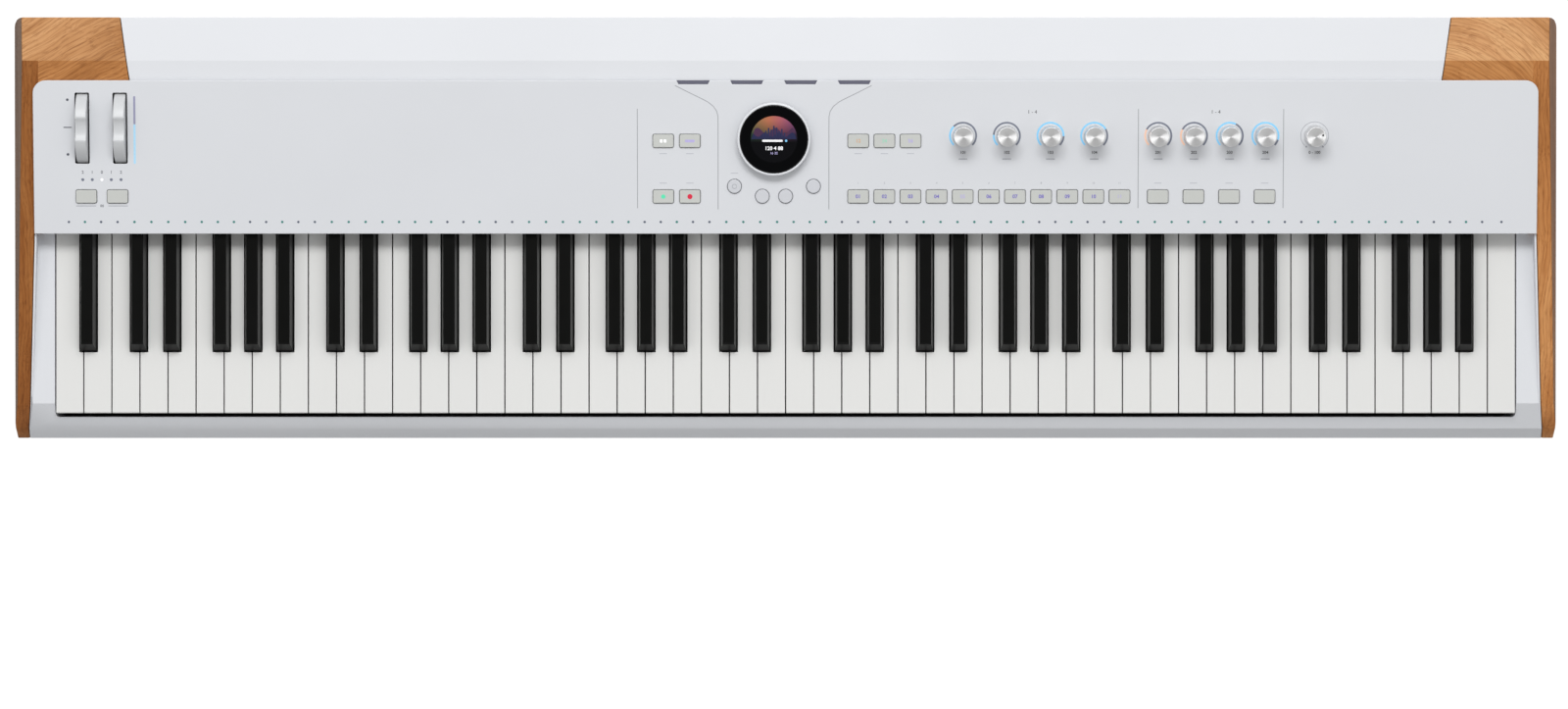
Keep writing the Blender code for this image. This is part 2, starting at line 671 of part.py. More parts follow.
def make_rear_deck(material):
    """Make the rear moulding: a shelf under the panel, the creased deck and the rear wall."""
    half = CHEEK_INNER_X - CHEEK_BLOCK_WIDTH + CHEEK_THICKNESS
    deck = extruded_housing("rear_deck", -half, half, SHELL_BOTTOM)
    front_low = (-BODY_WIDTH, -BODY_DEPTH, -BODY_DEPTH)
    front = box_mesh("deck_front", front_low, (BODY_WIDTH, DECK_FRONT_Y, BODY_DEPTH))
    boolean(deck, solid_object("deck_front", front))
    wall_x = seam_x(REAR_Y - CHEEK_BLOCK_DEPTH) - GAP - 2 * WALL
    boolean(deck, extruded_housing("deck_hollow", -wall_x, wall_x, SHELL_BOTTOM, WALL))
    for side in (-1, 1):
        outline = [
            (side * (seam_x(0.0) - SEAM_GAP), 0.0),
            (side * (seam_x(BODY_DEPTH) - SEAM_GAP), BODY_DEPTH),
            (side * BODY_WIDTH, BODY_DEPTH),
            (side * BODY_WIDTH, 0.0),
        ]
        wedge = outline_mesh("deck_seam", [outline], -BODY_DEPTH, BODY_DEPTH)
        boolean(deck, solid_object(f"deck_seam_{'left' if side < 0 else 'right'}", wedge))
    left, right, low, high = socket_area(0.0)
    window = box_mesh("socket_window", (left, REAR_Y - 2 * WALL, low), (right, REAR_Y + CUT_MARGIN, high))
    boolean(deck, solid_object("socket_window", window))
    return paint(deck, material)


def seam_x(y):
    """Return the distance from the middle to the slanted seam of deck and corner block."""
    rear = CHEEK_OUTER_X - CHEEK_BLOCK_WIDTH
    return rear - (REAR_Y - y) / (REAR_Y - PANEL_REAR_Y) * CHEEK_SEAM_SKEW


def make_cheek(name, side, material):
    """Make one wooden cheek: an L seen from above, cut to the housing's side profile."""
    block_front = REAR_Y - CHEEK_BLOCK_DEPTH
    corner_x = CHEEK_OUTER_X - CHEEK_CORNER_RADIUS
    corner_y = REAR_Y - CHEEK_CORNER_RADIUS
    round_corner = []
    for step in range(CORNER_STEPS + 1):
        angle = math.pi / 2 * step / CORNER_STEPS
        round_corner.append((corner_x + CHEEK_CORNER_RADIUS * math.cos(angle),
                             corner_y + CHEEK_CORNER_RADIUS * math.sin(angle)))
    edge = cheek_edge(0.0, FRONT_Y - CUT_MARGIN)
    plan = [
        (CHEEK_OUTER_X - CHEEK_OUTER_TAPER, FRONT_Y - CUT_MARGIN),
        *round_corner,
        (seam_x(REAR_Y), REAR_Y),
        (seam_x(block_front), block_front),
        (CHEEK_INNER_X, block_front),
        *reversed(edge),
    ]
    outline = [(side * x, y) for x, y in plan]
    cheek = solid_object(name, outline_mesh(name, [outline], 0.0, BODY_DEPTH))
    edges = sorted((side * (CHEEK_INNER_X / 2), side * (CHEEK_OUTER_X + CUT_MARGIN)))
    boolean(cheek, extruded_housing(f"{name}_form", edges[0], edges[1], CHEEK_GROUND), "INTERSECT")
    low = CHEEK_GROUND
    high = PANEL_FRONT_HEIGHT + CHEEK_BLOCK_DEPTH
    outside = CHEEK_OUTER_X + CHEEK_BLOCK_WIDTH
    lean = [
        (side * (CHEEK_OUTER_X + CHEEK_LEAN_RATIO * (CHEEK_LEAN_START - low)), low),
        (side * (CHEEK_OUTER_X + CHEEK_LEAN_RATIO * (CHEEK_LEAN_START - high)), high),
        (side * outside, high),
        (side * outside, low),
    ]
    cut = outline_mesh(f"{name}_lean", [lean], -BODY_DEPTH, BODY_DEPTH)
    cut.transform(Matrix.Rotation(math.pi / 2, 4, "X"))
    boolean(cheek, solid_object(f"{name}_lean", cut))
    return paint(cheek, material)


def button_centres(first_x, pitch, count):
    """Return the X positions of a row of buttons or knobs."""
    return [first_x + pitch * index for index in range(count)]


def button_groups():
    """Return each button group's name with its rows of X positions and their place v."""
    sound_x = button_centres(SOUND_BUTTON_FIRST_X, SOUND_BUTTON_PITCH, SOUND_BUTTON_COUNT)
    effect_x = button_centres(EFFECT_BUTTON_FIRST_X, EFFECT_BUTTON_PITCH, EFFECT_BUTTON_COUNT)
    return {
        "octave_buttons": [(OCTAVE_BUTTONS_X, BUTTON_ROW_V)],
        "mode_buttons": [(MODE_BUTTONS_X, BUTTON_ROW_V), (MODE_BUTTONS_X, UPPER_ROW_V)],
        "part_buttons": [(sound_x[:PART_BUTTON_COUNT], UPPER_ROW_V)],
        "sound_buttons": [(sound_x, BUTTON_ROW_V)],
        "effect_buttons": [(effect_x, BUTTON_ROW_V)],
    }


def knob_places():
    """Return each knob's name and its X position."""
    places = {}
    for index in range(KNOBS_PER_GROUP):
        places[f"sound_knob_{index + 1}"] = SOUND_KNOB_FIRST_X + SOUND_KNOB_PITCH * index
        places[f"effect_knob_{index + 1}"] = EFFECT_KNOB_FIRST_X + EFFECT_KNOB_PITCH * index
    places["volume_knob"] = VOLUME_KNOB_X
    return places


def round_button_places():
    """Return each round button's name and its place on the panel."""
    outer_x, outer_v = DISPLAY_BUTTON_OUTER
    inner_x, inner_v = DISPLAY_BUTTON_INNER
    places = [(-outer_x, outer_v), (-inner_x, inner_v), (inner_x, inner_v), (outer_x, outer_v)]
    return {f"round_button_{i + 1}": (DISPLAY_X + x, DISPLAY_V + v) for i, (x, v) in enumerate(places)}


def panel_outline():
    """Return the panel's outer edge with its round rear corners and its four notches."""
    half = PANEL_WIDTH / 2
    radius = PANEL_CORNER_RADIUS
    points = [(-half, 0.0), (half, 0.0)]
    for side, first in ((1, 0), (-1, 90)):
        if side < 0:
            for centre in reversed(NOTCH_CENTRES_X):
                points.append((centre + NOTCH_OUTER_WIDTH / 2, PANEL_DEPTH))
                points.append((centre + NOTCH_INNER_WIDTH / 2, PANEL_DEPTH - NOTCH_DEPTH))
                points.append((centre - NOTCH_INNER_WIDTH / 2, PANEL_DEPTH - NOTCH_DEPTH))
                points.append((centre - NOTCH_OUTER_WIDTH / 2, PANEL_DEPTH))
        for step in range(CORNER_STEPS + 1):
            angle = math.radians(first + 90 * step / CORNER_STEPS)
            points.append((side * (half - radius) + radius * math.cos(angle),
                           PANEL_DEPTH - radius + radius * math.sin(angle)))
    return points


def make_control_panel(material):
    """Make the panel plate with every hole that a control passes through."""
    outlines = [panel_outline()]
    for x in (PITCH_WHEEL_X, MOD_WHEEL_X):
        outlines.append(rounded_rectangle(SLOT_WIDTH, SLOT_LENGTH, SLOT_CORNER, (x, WHEEL_V)))
    width = BUTTON_WIDTH + 2 * BUTTON_CLEARANCE
    depth = BUTTON_DEPTH + 2 * BUTTON_CLEARANCE
    corner = BUTTON_CORNER + BUTTON_CLEARANCE
    for rows in button_groups().values():
        for row_x, v in rows:
            outlines += [rounded_rectangle(width, depth, corner, (x, v)) for x in row_x]
    for place in round_button_places().values():
        outlines.append(circle(ROUND_BUTTON_RADIUS + BUTTON_CLEARANCE, place, SMALL_STEPS))
    for x in knob_places().values():
        outlines.append(circle(KNOB_SHAFT_RADIUS + KNOB_HOLE_CLEARANCE, (x, KNOB_V), HIDDEN_STEPS))
    display_hole = DISPLAY_STEM_RADIUS + DISPLAY_STEM_CLEARANCE
    outlines.append(circle(display_hole, (DISPLAY_X, DISPLAY_V), DIAL_STEPS))
    mesh = outline_mesh("control_panel", outlines, PANEL_UNDER, 0.0)
    return paint(solid_object("control_panel", mesh, parent=PANEL), material)


def make_main_board(material):
    """Make the control board: a plate with a strip for the key lights, and the encoder bodies."""
    right = VOLUME_KNOB_X + BOARD_MARGIN
    left = PITCH_WHEEL_X - BOARD_MARGIN
    outline = [
        (left, BOARD_FRONT_V),
        (right, BOARD_FRONT_V),
        (right, BOARD_REAR_V),
        (BOARD_MAIN_LEFT_X, BOARD_REAR_V),
        (BOARD_MAIN_LEFT_X, BOARD_STRIP_REAR_V),
        (left, BOARD_STRIP_REAR_V),
    ]
    mesh = outline_mesh("main_board", [outline], BOARD_TOP - BOARD_THICKNESS, BOARD_TOP)
    board = solid_object("main_board", mesh, parent=PANEL)
    half = ENCODER_SIDE / 2
    bodies = []
    for x in knob_places().values():
        low = (x - half, KNOB_V - half, BOARD_TOP - BOARD_THICKNESS / 2)
        bodies.append(box_mesh("encoder", low, (x + half, KNOB_V + half, FLANGE_TOP)))
    encoders = solid_object("encoders", joined_mesh("encoders", bodies), parent=PANEL)
    boolean(board, encoders, "UNION")
    return paint(board, material)


def make_button_strip(name, rows, material):
    """Make one moulded group of rectangular buttons: caps on a common strip under the panel."""
    low = FLANGE_TOP - BUTTON_STRIP_THICKNESS
    reach_x = BUTTON_WIDTH / 2 + BUTTON_STRIP_MARGIN
    reach_v = BUTTON_DEPTH / 2 + BUTTON_STRIP_MARGIN
    left = min(rows[0][0]) - reach_x
    right = max(rows[0][0]) + reach_x
    front = min(v for _, v in rows) - reach_v
    rear = max(v for _, v in rows) + reach_v
    strip_outline = [rectangle(left, right, front, rear)]
    if len(rows) > 1:
        window = (left + reach_v, right - reach_v, front + 2 * reach_v, rear - 2 * reach_v)
        strip_outline.append(rectangle(*window))
    origin = ((left + right) / 2, (front + rear) / 2, low)
    strip_mesh = outline_mesh(name, strip_outline, low, FLANGE_TOP)
    strip = solid_object(name, strip_mesh, origin, PANEL)
    caps = []
    plungers = []
    for row_x, v in rows:
        for x in row_x:
            caps.append(rounded_rectangle(BUTTON_WIDTH, BUTTON_DEPTH, BUTTON_CORNER, (x, v)))
        for x in (min(row_x), max(row_x)):
            start = (x, v, low + BUTTON_STRIP_THICKNESS / 2)
            plungers.append(cylinder_mesh("plunger", STEM_RADIUS, start, (x, v, STEM_BOTTOM),
                                           PLUNGER_STEPS))
    cap_mesh = outline_mesh(f"{name}_caps", caps, low + BUTTON_STRIP_THICKNESS / 2, BUTTON_RISE)
    boolean(strip, solid_object(f"{name}_caps", cap_mesh, parent=PANEL), "UNION")
    plunger_mesh = joined_mesh(f"{name}_plungers", plungers)
    boolean(strip, solid_object(f"{name}_plungers", plunger_mesh, parent=PANEL), "UNION")
    return paint(strip, material)


def make_round_buttons(material):
    """Make the four round buttons with their flange under the panel and their plunger."""
    for name, (x, v) in round_button_places().items():
        profile = [
            (0.0, ROUND_BUTTON_RISE),
            (ROUND_BUTTON_RADIUS - ROUND_BUTTON_CROWN_WIDTH, ROUND_BUTTON_RISE),
            (ROUND_BUTTON_RADIUS, ROUND_BUTTON_RISE - ROUND_BUTTON_CROWN),
            (ROUND_BUTTON_RADIUS, FLANGE_TOP),
            (ROUND_BUTTON_RADIUS + ROUND_BUTTON_FLANGE, FLANGE_TOP),
            (ROUND_BUTTON_RADIUS + ROUND_BUTTON_FLANGE, FLANGE_TOP - BUTTON_STRIP_THICKNESS),
            (STEM_RADIUS, FLANGE_TOP - BUTTON_STRIP_THICKNESS),
            (STEM_RADIUS, STEM_BOTTOM),
            (0.0, STEM_BOTTOM),
        ]
        button = turned_object(name, profile, SMALL_STEPS, (x, v, 0.0), PANEL)
        paint(button, material, math.radians(40))


def make_display(glass, ring):
    """Make the pressable display and the dial ring that turns on its ledge."""
    place = (DISPLAY_X, DISPLAY_V, 0.0)
    ledge_radius = (GLASS_RADIUS + DIAL_RADIUS) / 2
    ledge_top = DIAL_LIFT + DIAL_LEDGE
    profile = [
        (0.0, GLASS_RISE),
        (GLASS_RADIUS, GLASS_RISE),
        (GLASS_RADIUS, ledge_top),
        (ledge_radius, ledge_top),
        (ledge_radius, DIAL_LIFT),
        (DISPLAY_STEM_RADIUS, DIAL_LIFT),
        (DISPLAY_STEM_RADIUS, FLANGE_TOP),
        (DISPLAY_BODY_RADIUS, FLANGE_TOP),
        (DISPLAY_BODY_RADIUS, STEM_BOTTOM),
        (0.0, STEM_BOTTOM),
    ]
    module = turned_object("display_module", profile, DIAL_STEPS, place, PANEL)
    paint(module, glass, math.radians(40))
    bore = GLASS_RADIUS + GAP
    recess = ledge_radius + GAP
    dial_profile = [
        (bore, DIAL_RISE),
        (DIAL_RADIUS - DIAL_LEDGE / 2, DIAL_RISE),
        (DIAL_RADIUS, DIAL_RISE - DIAL_LEDGE / 2),
        (DIAL_RADIUS, DIAL_LIFT),
        (recess, DIAL_LIFT),
        (recess, ledge_top + GAP),
        (bore, ledge_top + GAP),
    ]
    dial = turned_object("dial_ring", dial_profile, DIAL_STEPS, place, PANEL, closed=True)
    paint(dial, ring, math.radians(40))


def make_knobs(material):
    """Make the nine knobs, each with a dished cap and a shaft down to its encoder."""
    profile = [
        (0.0, KNOB_HEIGHT - KNOB_DISH),
        (KNOB_TOP_RADIUS - KNOB_CHAMFER, KNOB_HEIGHT),
        (KNOB_TOP_RADIUS, KNOB_HEIGHT - KNOB_CHAMFER),
        (KNOB_RADIUS, KNOB_LIFT),
        (KNOB_SHAFT_RADIUS, KNOB_LIFT),
        (KNOB_SHAFT_RADIUS, PANEL_UNDER),
        (0.0, PANEL_UNDER),
    ]
    for name, x in knob_places().items():
        knob = turned_object(name, profile, ROUND_STEPS, (x, KNOB_V, 0.0), PANEL)
        paint(knob, material, math.radians(40))


def make_wheel(name, x, material):
    """Make one wheel with its hub, its bore and the thumb scallop at its top."""
    half = WHEEL_WIDTH / 2
    hub = WHEEL_HUB_LENGTH / 2
    bore = AXLE_RADIUS + GAP
    profile = [
        (bore, hub),
        (WHEEL_HUB_RADIUS, hub),
        (WHEEL_HUB_RADIUS, half),
        (WHEEL_RADIUS - WHEEL_EDGE, half),
        (WHEEL_RADIUS, half - WHEEL_EDGE),
        (WHEEL_RADIUS, WHEEL_EDGE - half),
        (WHEEL_RADIUS - WHEEL_EDGE, -half),
        (WHEEL_HUB_RADIUS, -half),
        (WHEEL_HUB_RADIUS, -hub),
        (bore, -hub),
    ]
    place = (x, WHEEL_V, WHEEL_AXLE_H)
    turn = (0.0, math.pi / 2, 0.0)
    wheel = turned_object(name, profile, WHEEL_STEPS, place, PANEL, closed=True, turn=turn)
    scallop_h = WHEEL_PROTRUSION + SCALLOP_RADIUS - SCALLOP_DEPTH
    reach = WHEEL_HUB_LENGTH
    start = (x - reach, WHEEL_V, scallop_h)
    scallop = cylinder_mesh(f"{name}_scallop", SCALLOP_RADIUS, start, (x + reach, WHEEL_V, scallop_h),
                            SCALLOP_STEPS)
    boolean(wheel, solid_object(f"{name}_scallop", scallop, parent=PANEL))
    return paint(wheel, material, math.radians(35))


def make_wheel_bracket(material):
    """Make the bracket under the panel: a flange, two ears for each wheel and the axles."""
    margin = WHEEL_HUB_LENGTH / 2 + GAP + BRACKET_SHEET
    left = PITCH_WHEEL_X - margin - BRACKET_MARGIN
    right = MOD_WHEEL_X + margin + BRACKET_MARGIN
    notch = WHEEL_V - WHEEL_RADIUS - BRACKET_CLEARANCE
    rear = WHEEL_V + BRACKET_EAR_WIDTH / 2 + BRACKET_MARGIN
    outline = [(left, rear), (left, notch - BRACKET_MARGIN), (right, notch - BRACKET_MARGIN), (right, rear)]
    ears = []
    axles = []
    for x in (MOD_WHEEL_X, PITCH_WHEEL_X):
        slot_left = x - SLOT_WIDTH / 2
        slot_right = x + SLOT_WIDTH / 2
        outline += [(slot_right, rear), (slot_right, notch), (slot_left, notch), (slot_left, rear)]
        for side in (-1, 1):
            inner = x + side * (WHEEL_HUB_LENGTH / 2 + GAP)
            outer = inner + side * BRACKET_SHEET
            low = (min(inner, outer), WHEEL_V - BRACKET_EAR_WIDTH / 2, WHEEL_AXLE_H - BRACKET_EAR_BELOW_AXLE)
            high = (max(inner, outer), WHEEL_V + BRACKET_EAR_WIDTH / 2, FLANGE_TOP - BRACKET_SHEET / 2)
            ears.append(box_mesh("bracket_ear", low, high))
        reach = WHEEL_HUB_LENGTH / 2 + GAP + BRACKET_SHEET / 2
        start = (x - reach, WHEEL_V, WHEEL_AXLE_H)
        axles.append(cylinder_mesh("axle", AXLE_RADIUS, start, (x + reach, WHEEL_V, WHEEL_AXLE_H)))
    flange = outline_mesh("wheel_bracket", [outline], FLANGE_TOP - BRACKET_SHEET, FLANGE_TOP)
    bracket = solid_object("wheel_bracket", flange, parent=PANEL)
    for name, meshes in (("bracket_ears", ears), ("bracket_axles", axles)):
        boolean(bracket, solid_object(name, joined_mesh(name, meshes), parent=PANEL), "UNION")
    return paint(bracket, material)


def make_keybed_frame(material):
    """Make the frame under the keys: a stop rail in front, the fulcrum rail and gussets."""
    floor = FRAME_BOTTOM + FRAME_SHEET
    fulcrum_top = KEY_UNDER - GAP
    fulcrum_front = PIVOT_Y - FULCRUM_WIDTH / 2
    fulcrum_rear = PIVOT_Y + FULCRUM_WIDTH / 2
    half = KEYS_HALF_WIDTH
    profile = [
        (FRAME_FRONT_Y, FRAME_BOTTOM),
        (fulcrum_rear + FRAME_REAR_FLANGE, FRAME_BOTTOM),
        (fulcrum_rear + FRAME_REAR_FLANGE, floor),
        (fulcrum_rear, floor),
        (fulcrum_rear, fulcrum_top),
        (fulcrum_front, fulcrum_top),
        (fulcrum_front, floor),
        (FRAME_FRONT_Y + FRAME_SHEET, floor),
        (FRAME_FRONT_Y + FRAME_SHEET, stop_height() - FRAME_SHEET),
        (FRAME_STOP_Y, stop_height() - FRAME_SHEET),
        (FRAME_STOP_Y, stop_height()),
        (FRAME_FRONT_Y, stop_height()),
    ]
    frame = solid_object("keybed_frame", side_mesh("keybed_frame", profile, -half, half))
    inner = FRAME_SHEET / 2
    gussets = []
    for index in range(GUSSET_COUNT):
        x = half * (2 * index / (GUSSET_COUNT - 1) - 1) * (1 - GUSSET_LENGTH / half)
        left = x - GUSSET_THICKNESS / 2
        right = x + GUSSET_THICKNESS / 2
        front = [
            (FRAME_FRONT_Y + inner, FRAME_BOTTOM + inner),
            (FRAME_FRONT_Y + GUSSET_LENGTH, FRAME_BOTTOM + inner),
            (FRAME_FRONT_Y + GUSSET_LENGTH, floor + inner),
            (FRAME_STOP_Y - 2 * inner, stop_height() - inner),
            (FRAME_FRONT_Y + inner, stop_height() - inner),
        ]
        rear = [
            (fulcrum_front - GUSSET_LENGTH, FRAME_BOTTOM + inner),
            (fulcrum_front + inner, FRAME_BOTTOM + inner),
            (fulcrum_front + inner, fulcrum_top - 4 * inner),
            (fulcrum_front - GUSSET_LENGTH, floor + inner),
        ]
        gussets.append(side_mesh("front_gusset", front, left, right))
        gussets.append(side_mesh("rear_gusset", rear, left, right))
    boolean(frame, solid_object("gussets", joined_mesh("gussets", gussets)), "UNION")
    return paint(frame, material)


def stop_height():
    """Return the top of the stop rail, just below a white key pressed all the way."""
    share = (PIVOT_Y - FRAME_FRONT_Y) / (PIVOT_Y - KEY_FRONT_Y)
    return KEY_UNDER - WHITE_TRAVEL * share - GAP


def white_left(index):
    """Return the X position of a white key's left edge, counted from the lowest key."""
    return index * KEY_PITCH - KEYS_HALF_WIDTH


def letter_of(index):
    """Return the note letter of a white key."""
    return LETTERS[(index + LETTERS.index(FIRST_LETTER)) % len(LETTERS)]


def octave_of(index):
    """Return the octave number of a white key."""
    return (index + LETTERS.index(FIRST_LETTER)) // len(LETTERS)


def black_centre(index):
    """Return the middle of the black key after a white key, or None where there is none."""
    if index < 0 or index >= WHITE_KEYS - 1 or letter_of(index) not in BLACK_AFTER:
        return None
    return white_left(index) + BLACK_AFTER[letter_of(index)] * KEY_PITCH


def white_profile():
    """Return a white key's side profile: lip, top face, lowered tail and low spine."""
    step_y = PANEL_FRONT_Y + TAIL_DROP_LENGTH
    lip_bottom = KEY_TOP - LIP_HEIGHT
    return [
        (KEY_FRONT_Y, lip_bottom),
        (KEY_FRONT_Y + LIP_THICKNESS, lip_bottom),
        (KEY_FRONT_Y + LIP_THICKNESS, KEY_UNDER),
        (TAIL_END_Y, KEY_UNDER),
        (TAIL_END_Y, WHITE_SPINE_TOP),
        (TAIL_STEP_Y, WHITE_SPINE_TOP),
        (TAIL_STEP_Y, TAIL_TOP),
        (step_y, TAIL_TOP),
        (step_y, KEY_TOP),
        (KEY_FRONT_Y + LIP_CHAMFER, KEY_TOP),
        (KEY_FRONT_Y, KEY_TOP - LIP_CHAMFER),
    ]


def white_cuts(first, last):
    """Return the outlines cut from a run of white keys: gaps between keys and black key notches."""
    half_gap = KEY_GAP / 2
    half_notch = BLACK_BASE_WIDTH / 2 + BLACK_SIDE_GAP
    start = KEY_FRONT_Y - CUT_MARGIN
    notch_y = BLACK_FRONT_Y - KEY_GAP
    outlines = []
    for index in range(first, last):
        border = white_left(index + 1)
        centre = black_centre(index)
        if centre is None:
            outlines.append(rectangle(border - half_gap, border + half_gap, start, SPINE_FRONT_Y))
            continue
        outlines.append([
            (border - half_gap, start),
            (border + half_gap, start),
            (border + half_gap, notch_y),
            (centre + half_notch, notch_y),
            (centre + half_notch, SPINE_FRONT_Y),
            (centre - half_notch, SPINE_FRONT_Y),
            (centre - half_notch, notch_y),
            (border - half_gap, notch_y),
        ])
    far = TAIL_END_Y + CUT_MARGIN
    before = black_centre(first - 1)
    after = black_centre(last)
    if before is not None:
        outlines.append(rectangle(white_left(first) - CUT_MARGIN, before + half_notch, notch_y, far))
    if after is not None:
        outlines.append(rectangle(after - half_notch, white_left(last + 1) + CUT_MARGIN, notch_y, far))
    return outlines


def make_white_keys(name, first, last, material):
    """Make a run of white keys as one comb that turns about the fulcrum, or one single key."""
    left = white_left(first) + KEY_GAP / 2
    right = white_left(last + 1) - KEY_GAP / 2
    origin = ((left + right) / 2, PIVOT_Y, PIVOT_Z)
    keys = solid_object(name, side_mesh(name, white_profile(), left, right), origin)
    outlines = white_cuts(first, last)
    low = KEY_TOP - LIP_HEIGHT - CUT_MARGIN
    cuts = outline_mesh(f"{name}_cuts", outlines, low, KEY_TOP + CUT_MARGIN)
    boolean(keys, solid_object(f"{name}_cuts", cuts))
    return paint(keys, material)


def black_key_mesh(centre):
    """Return one black key: a straight body between the white keys and a tapered head."""
    nose_y = BLACK_FRONT_Y + BLACK_NOSE_LENGTH
    head_end = PANEL_FRONT_Y + BLACK_HIDDEN_HEAD
    head_top = KEY_TOP + BLACK_RISE
    profile = [
        (BLACK_FRONT_Y, KEY_UNDER),
        (TAIL_STEP_Y, KEY_UNDER),
        (TAIL_STEP_Y, BLACK_SPINE_UNDER),
        (TAIL_END_Y, BLACK_SPINE_UNDER),
        (TAIL_END_Y, TAIL_TOP),
        (head_end + TAIL_DROP_LENGTH, TAIL_TOP),
        (head_end, head_top),
        (nose_y + LIP_CHAMFER, head_top),
        (nose_y - LIP_CHAMFER / 2, head_top - LIP_CHAMFER),
        (BLACK_FRONT_Y, KEY_TOP),
    ]
    half = BLACK_BASE_WIDTH / 2
    mesh = side_mesh("black_key", profile, -half, half)
    shape = bmesh.new()
    shape.from_mesh(mesh)
    everything = shape.verts[:] + shape.edges[:] + shape.faces[:]
    bmesh.ops.bisect_plane(shape, geom=everything, plane_co=(0.0, 0.0, KEY_TOP),
                           plane_no=(0.0, 0.0, 1.0), dist=0.000001)
    taper = (1.0 - BLACK_TOP_WIDTH / BLACK_BASE_WIDTH) / BLACK_RISE
    for vert in shape.verts:
        vert.co.x *= 1.0 - taper * max(0.0, vert.co.z - KEY_TOP)
    bmesh.ops.translate(shape, vec=(centre, 0.0, 0.0), verts=shape.verts)
    shape.to_mesh(mesh)
    shape.free()
    return mesh


def make_black_keys(name, first, last, material):
    """Make the black keys after a run of white keys, joined by a high spine where several."""
    centres = [black_centre(index) for index in range(first, last + 1)]
    centres = [centre for centre in centres if centre is not None]
    mesh = joined_mesh(name, [black_key_mesh(centre) for centre in centres])
    origin = ((centres[0] + centres[-1]) / 2, PIVOT_Y, PIVOT_Z)
    keys = solid_object(name, mesh, origin)
    if len(centres) > 1:
        inset = BLACK_BASE_WIDTH / 4
        low = (centres[0] - inset, SPINE_FRONT_Y, BLACK_SPINE_UNDER + SPINE_SKIN)
        high = (centres[-1] + inset, TAIL_END_Y - SPINE_SKIN, TAIL_TOP - SPINE_SKIN)
        boolean(keys, solid_object(f"{name}_spine", box_mesh(f"{name}_spine", low, high)), "UNION")
    return paint(keys, material)


def make_keys(white, black):
    """Make the sprung keys: one octave of single keys and six octaves moulded as combs."""
    lowest = {}
    highest = {}
    for index in range(WHITE_KEYS):
        octave = min(max(octave_of(index), 1), octave_of(WHITE_KEYS - 1) - 1)
        lowest.setdefault(octave, index)
        highest[octave] = index
    for octave, first in lowest.items():
        last = highest[octave]
        if octave != SINGLE_OCTAVE:
            make_white_keys(f"white_keys_octave_{octave}", first, last, white)
            make_black_keys(f"black_keys_octave_{octave}", first, last, black)
            continue
        for index in range(first, last + 1):
            note = letter_of(index).lower()
            make_white_keys(f"key_{note}{octave}", index, index, white)
            if black_centre(index) is not None:
                make_black_keys(f"key_{note}_sharp{octave}", index, index, black)


def socket_area(lap):
    """Return the left, right, low and high edge of the socket window, widened by a lap."""
    places = JACK_X + DIN_X + (USB_X, DC_X)
    margin = DIN_BARREL_RADIUS + SOCKET_WINDOW_MARGIN + lap
    half = SOCKET_WINDOW_HEIGHT / 2 + lap
    return (min(places) - margin, max(places) + margin,
            SOCKET_ROW_HEIGHT - half, SOCKET_ROW_HEIGHT + half)


def make_jack_plate(material):
    """Make the socket plate behind the rear wall with its barrels and their blind holes."""
    left, right, low, high = socket_area(SOCKET_PLATE_LAP)
    face = REAR_Y - WALL - GAP
    mouth = REAR_Y - SOCKET_RECESS
    plate_mesh = box_mesh("jack_plate", (left, face - SOCKET_PLATE_THICKNESS, low), (right, face, high))
    plate = solid_object("jack_plate", plate_mesh)
    barrels = []
    bores = []
    rounds = [(x, JACK_BARREL_RADIUS, JACK_RADIUS, JACK_BARREL_LENGTH) for x in JACK_X]
    rounds += [(x, DIN_BARREL_RADIUS, DIN_RADIUS, DIN_DEPTH) for x in DIN_X]
    rounds.append((DC_X, DC_BARREL_RADIUS, DC_RADIUS, DC_DEPTH))
    for x, outer, inner, depth in rounds:
        end = mouth - depth
        barrels.append(cylinder_mesh("barrel", outer, (x, end - WALL, SOCKET_ROW_HEIGHT),
                                     (x, mouth, SOCKET_ROW_HEIGHT), BARREL_STEPS))
        bores.append(cylinder_mesh("bore", inner, (x, end, SOCKET_ROW_HEIGHT),
                                   (x, mouth + CUT_MARGIN, SOCKET_ROW_HEIGHT), BARREL_STEPS))
    half_x = USB_WIDTH / 2
    half_z = USB_HEIGHT / 2
    barrels.append(box_mesh("usb_shell", (USB_X - half_x - WALL, mouth - USB_DEPTH - WALL,
                                          SOCKET_ROW_HEIGHT - half_z - WALL),
                            (USB_X + half_x + WALL, mouth, SOCKET_ROW_HEIGHT + half_z + WALL)))
    bores.append(box_mesh("usb_slot", (USB_X - half_x, mouth - USB_DEPTH, SOCKET_ROW_HEIGHT - half_z),
                          (USB_X + half_x, mouth + CUT_MARGIN, SOCKET_ROW_HEIGHT + half_z)))
    boolean(plate, solid_object("socket_barrels", joined_mesh("socket_barrels", barrels)), "UNION")
    boolean(plate, solid_object("socket_bores", joined_mesh("socket_bores", bores)))
    return paint(plate, material)


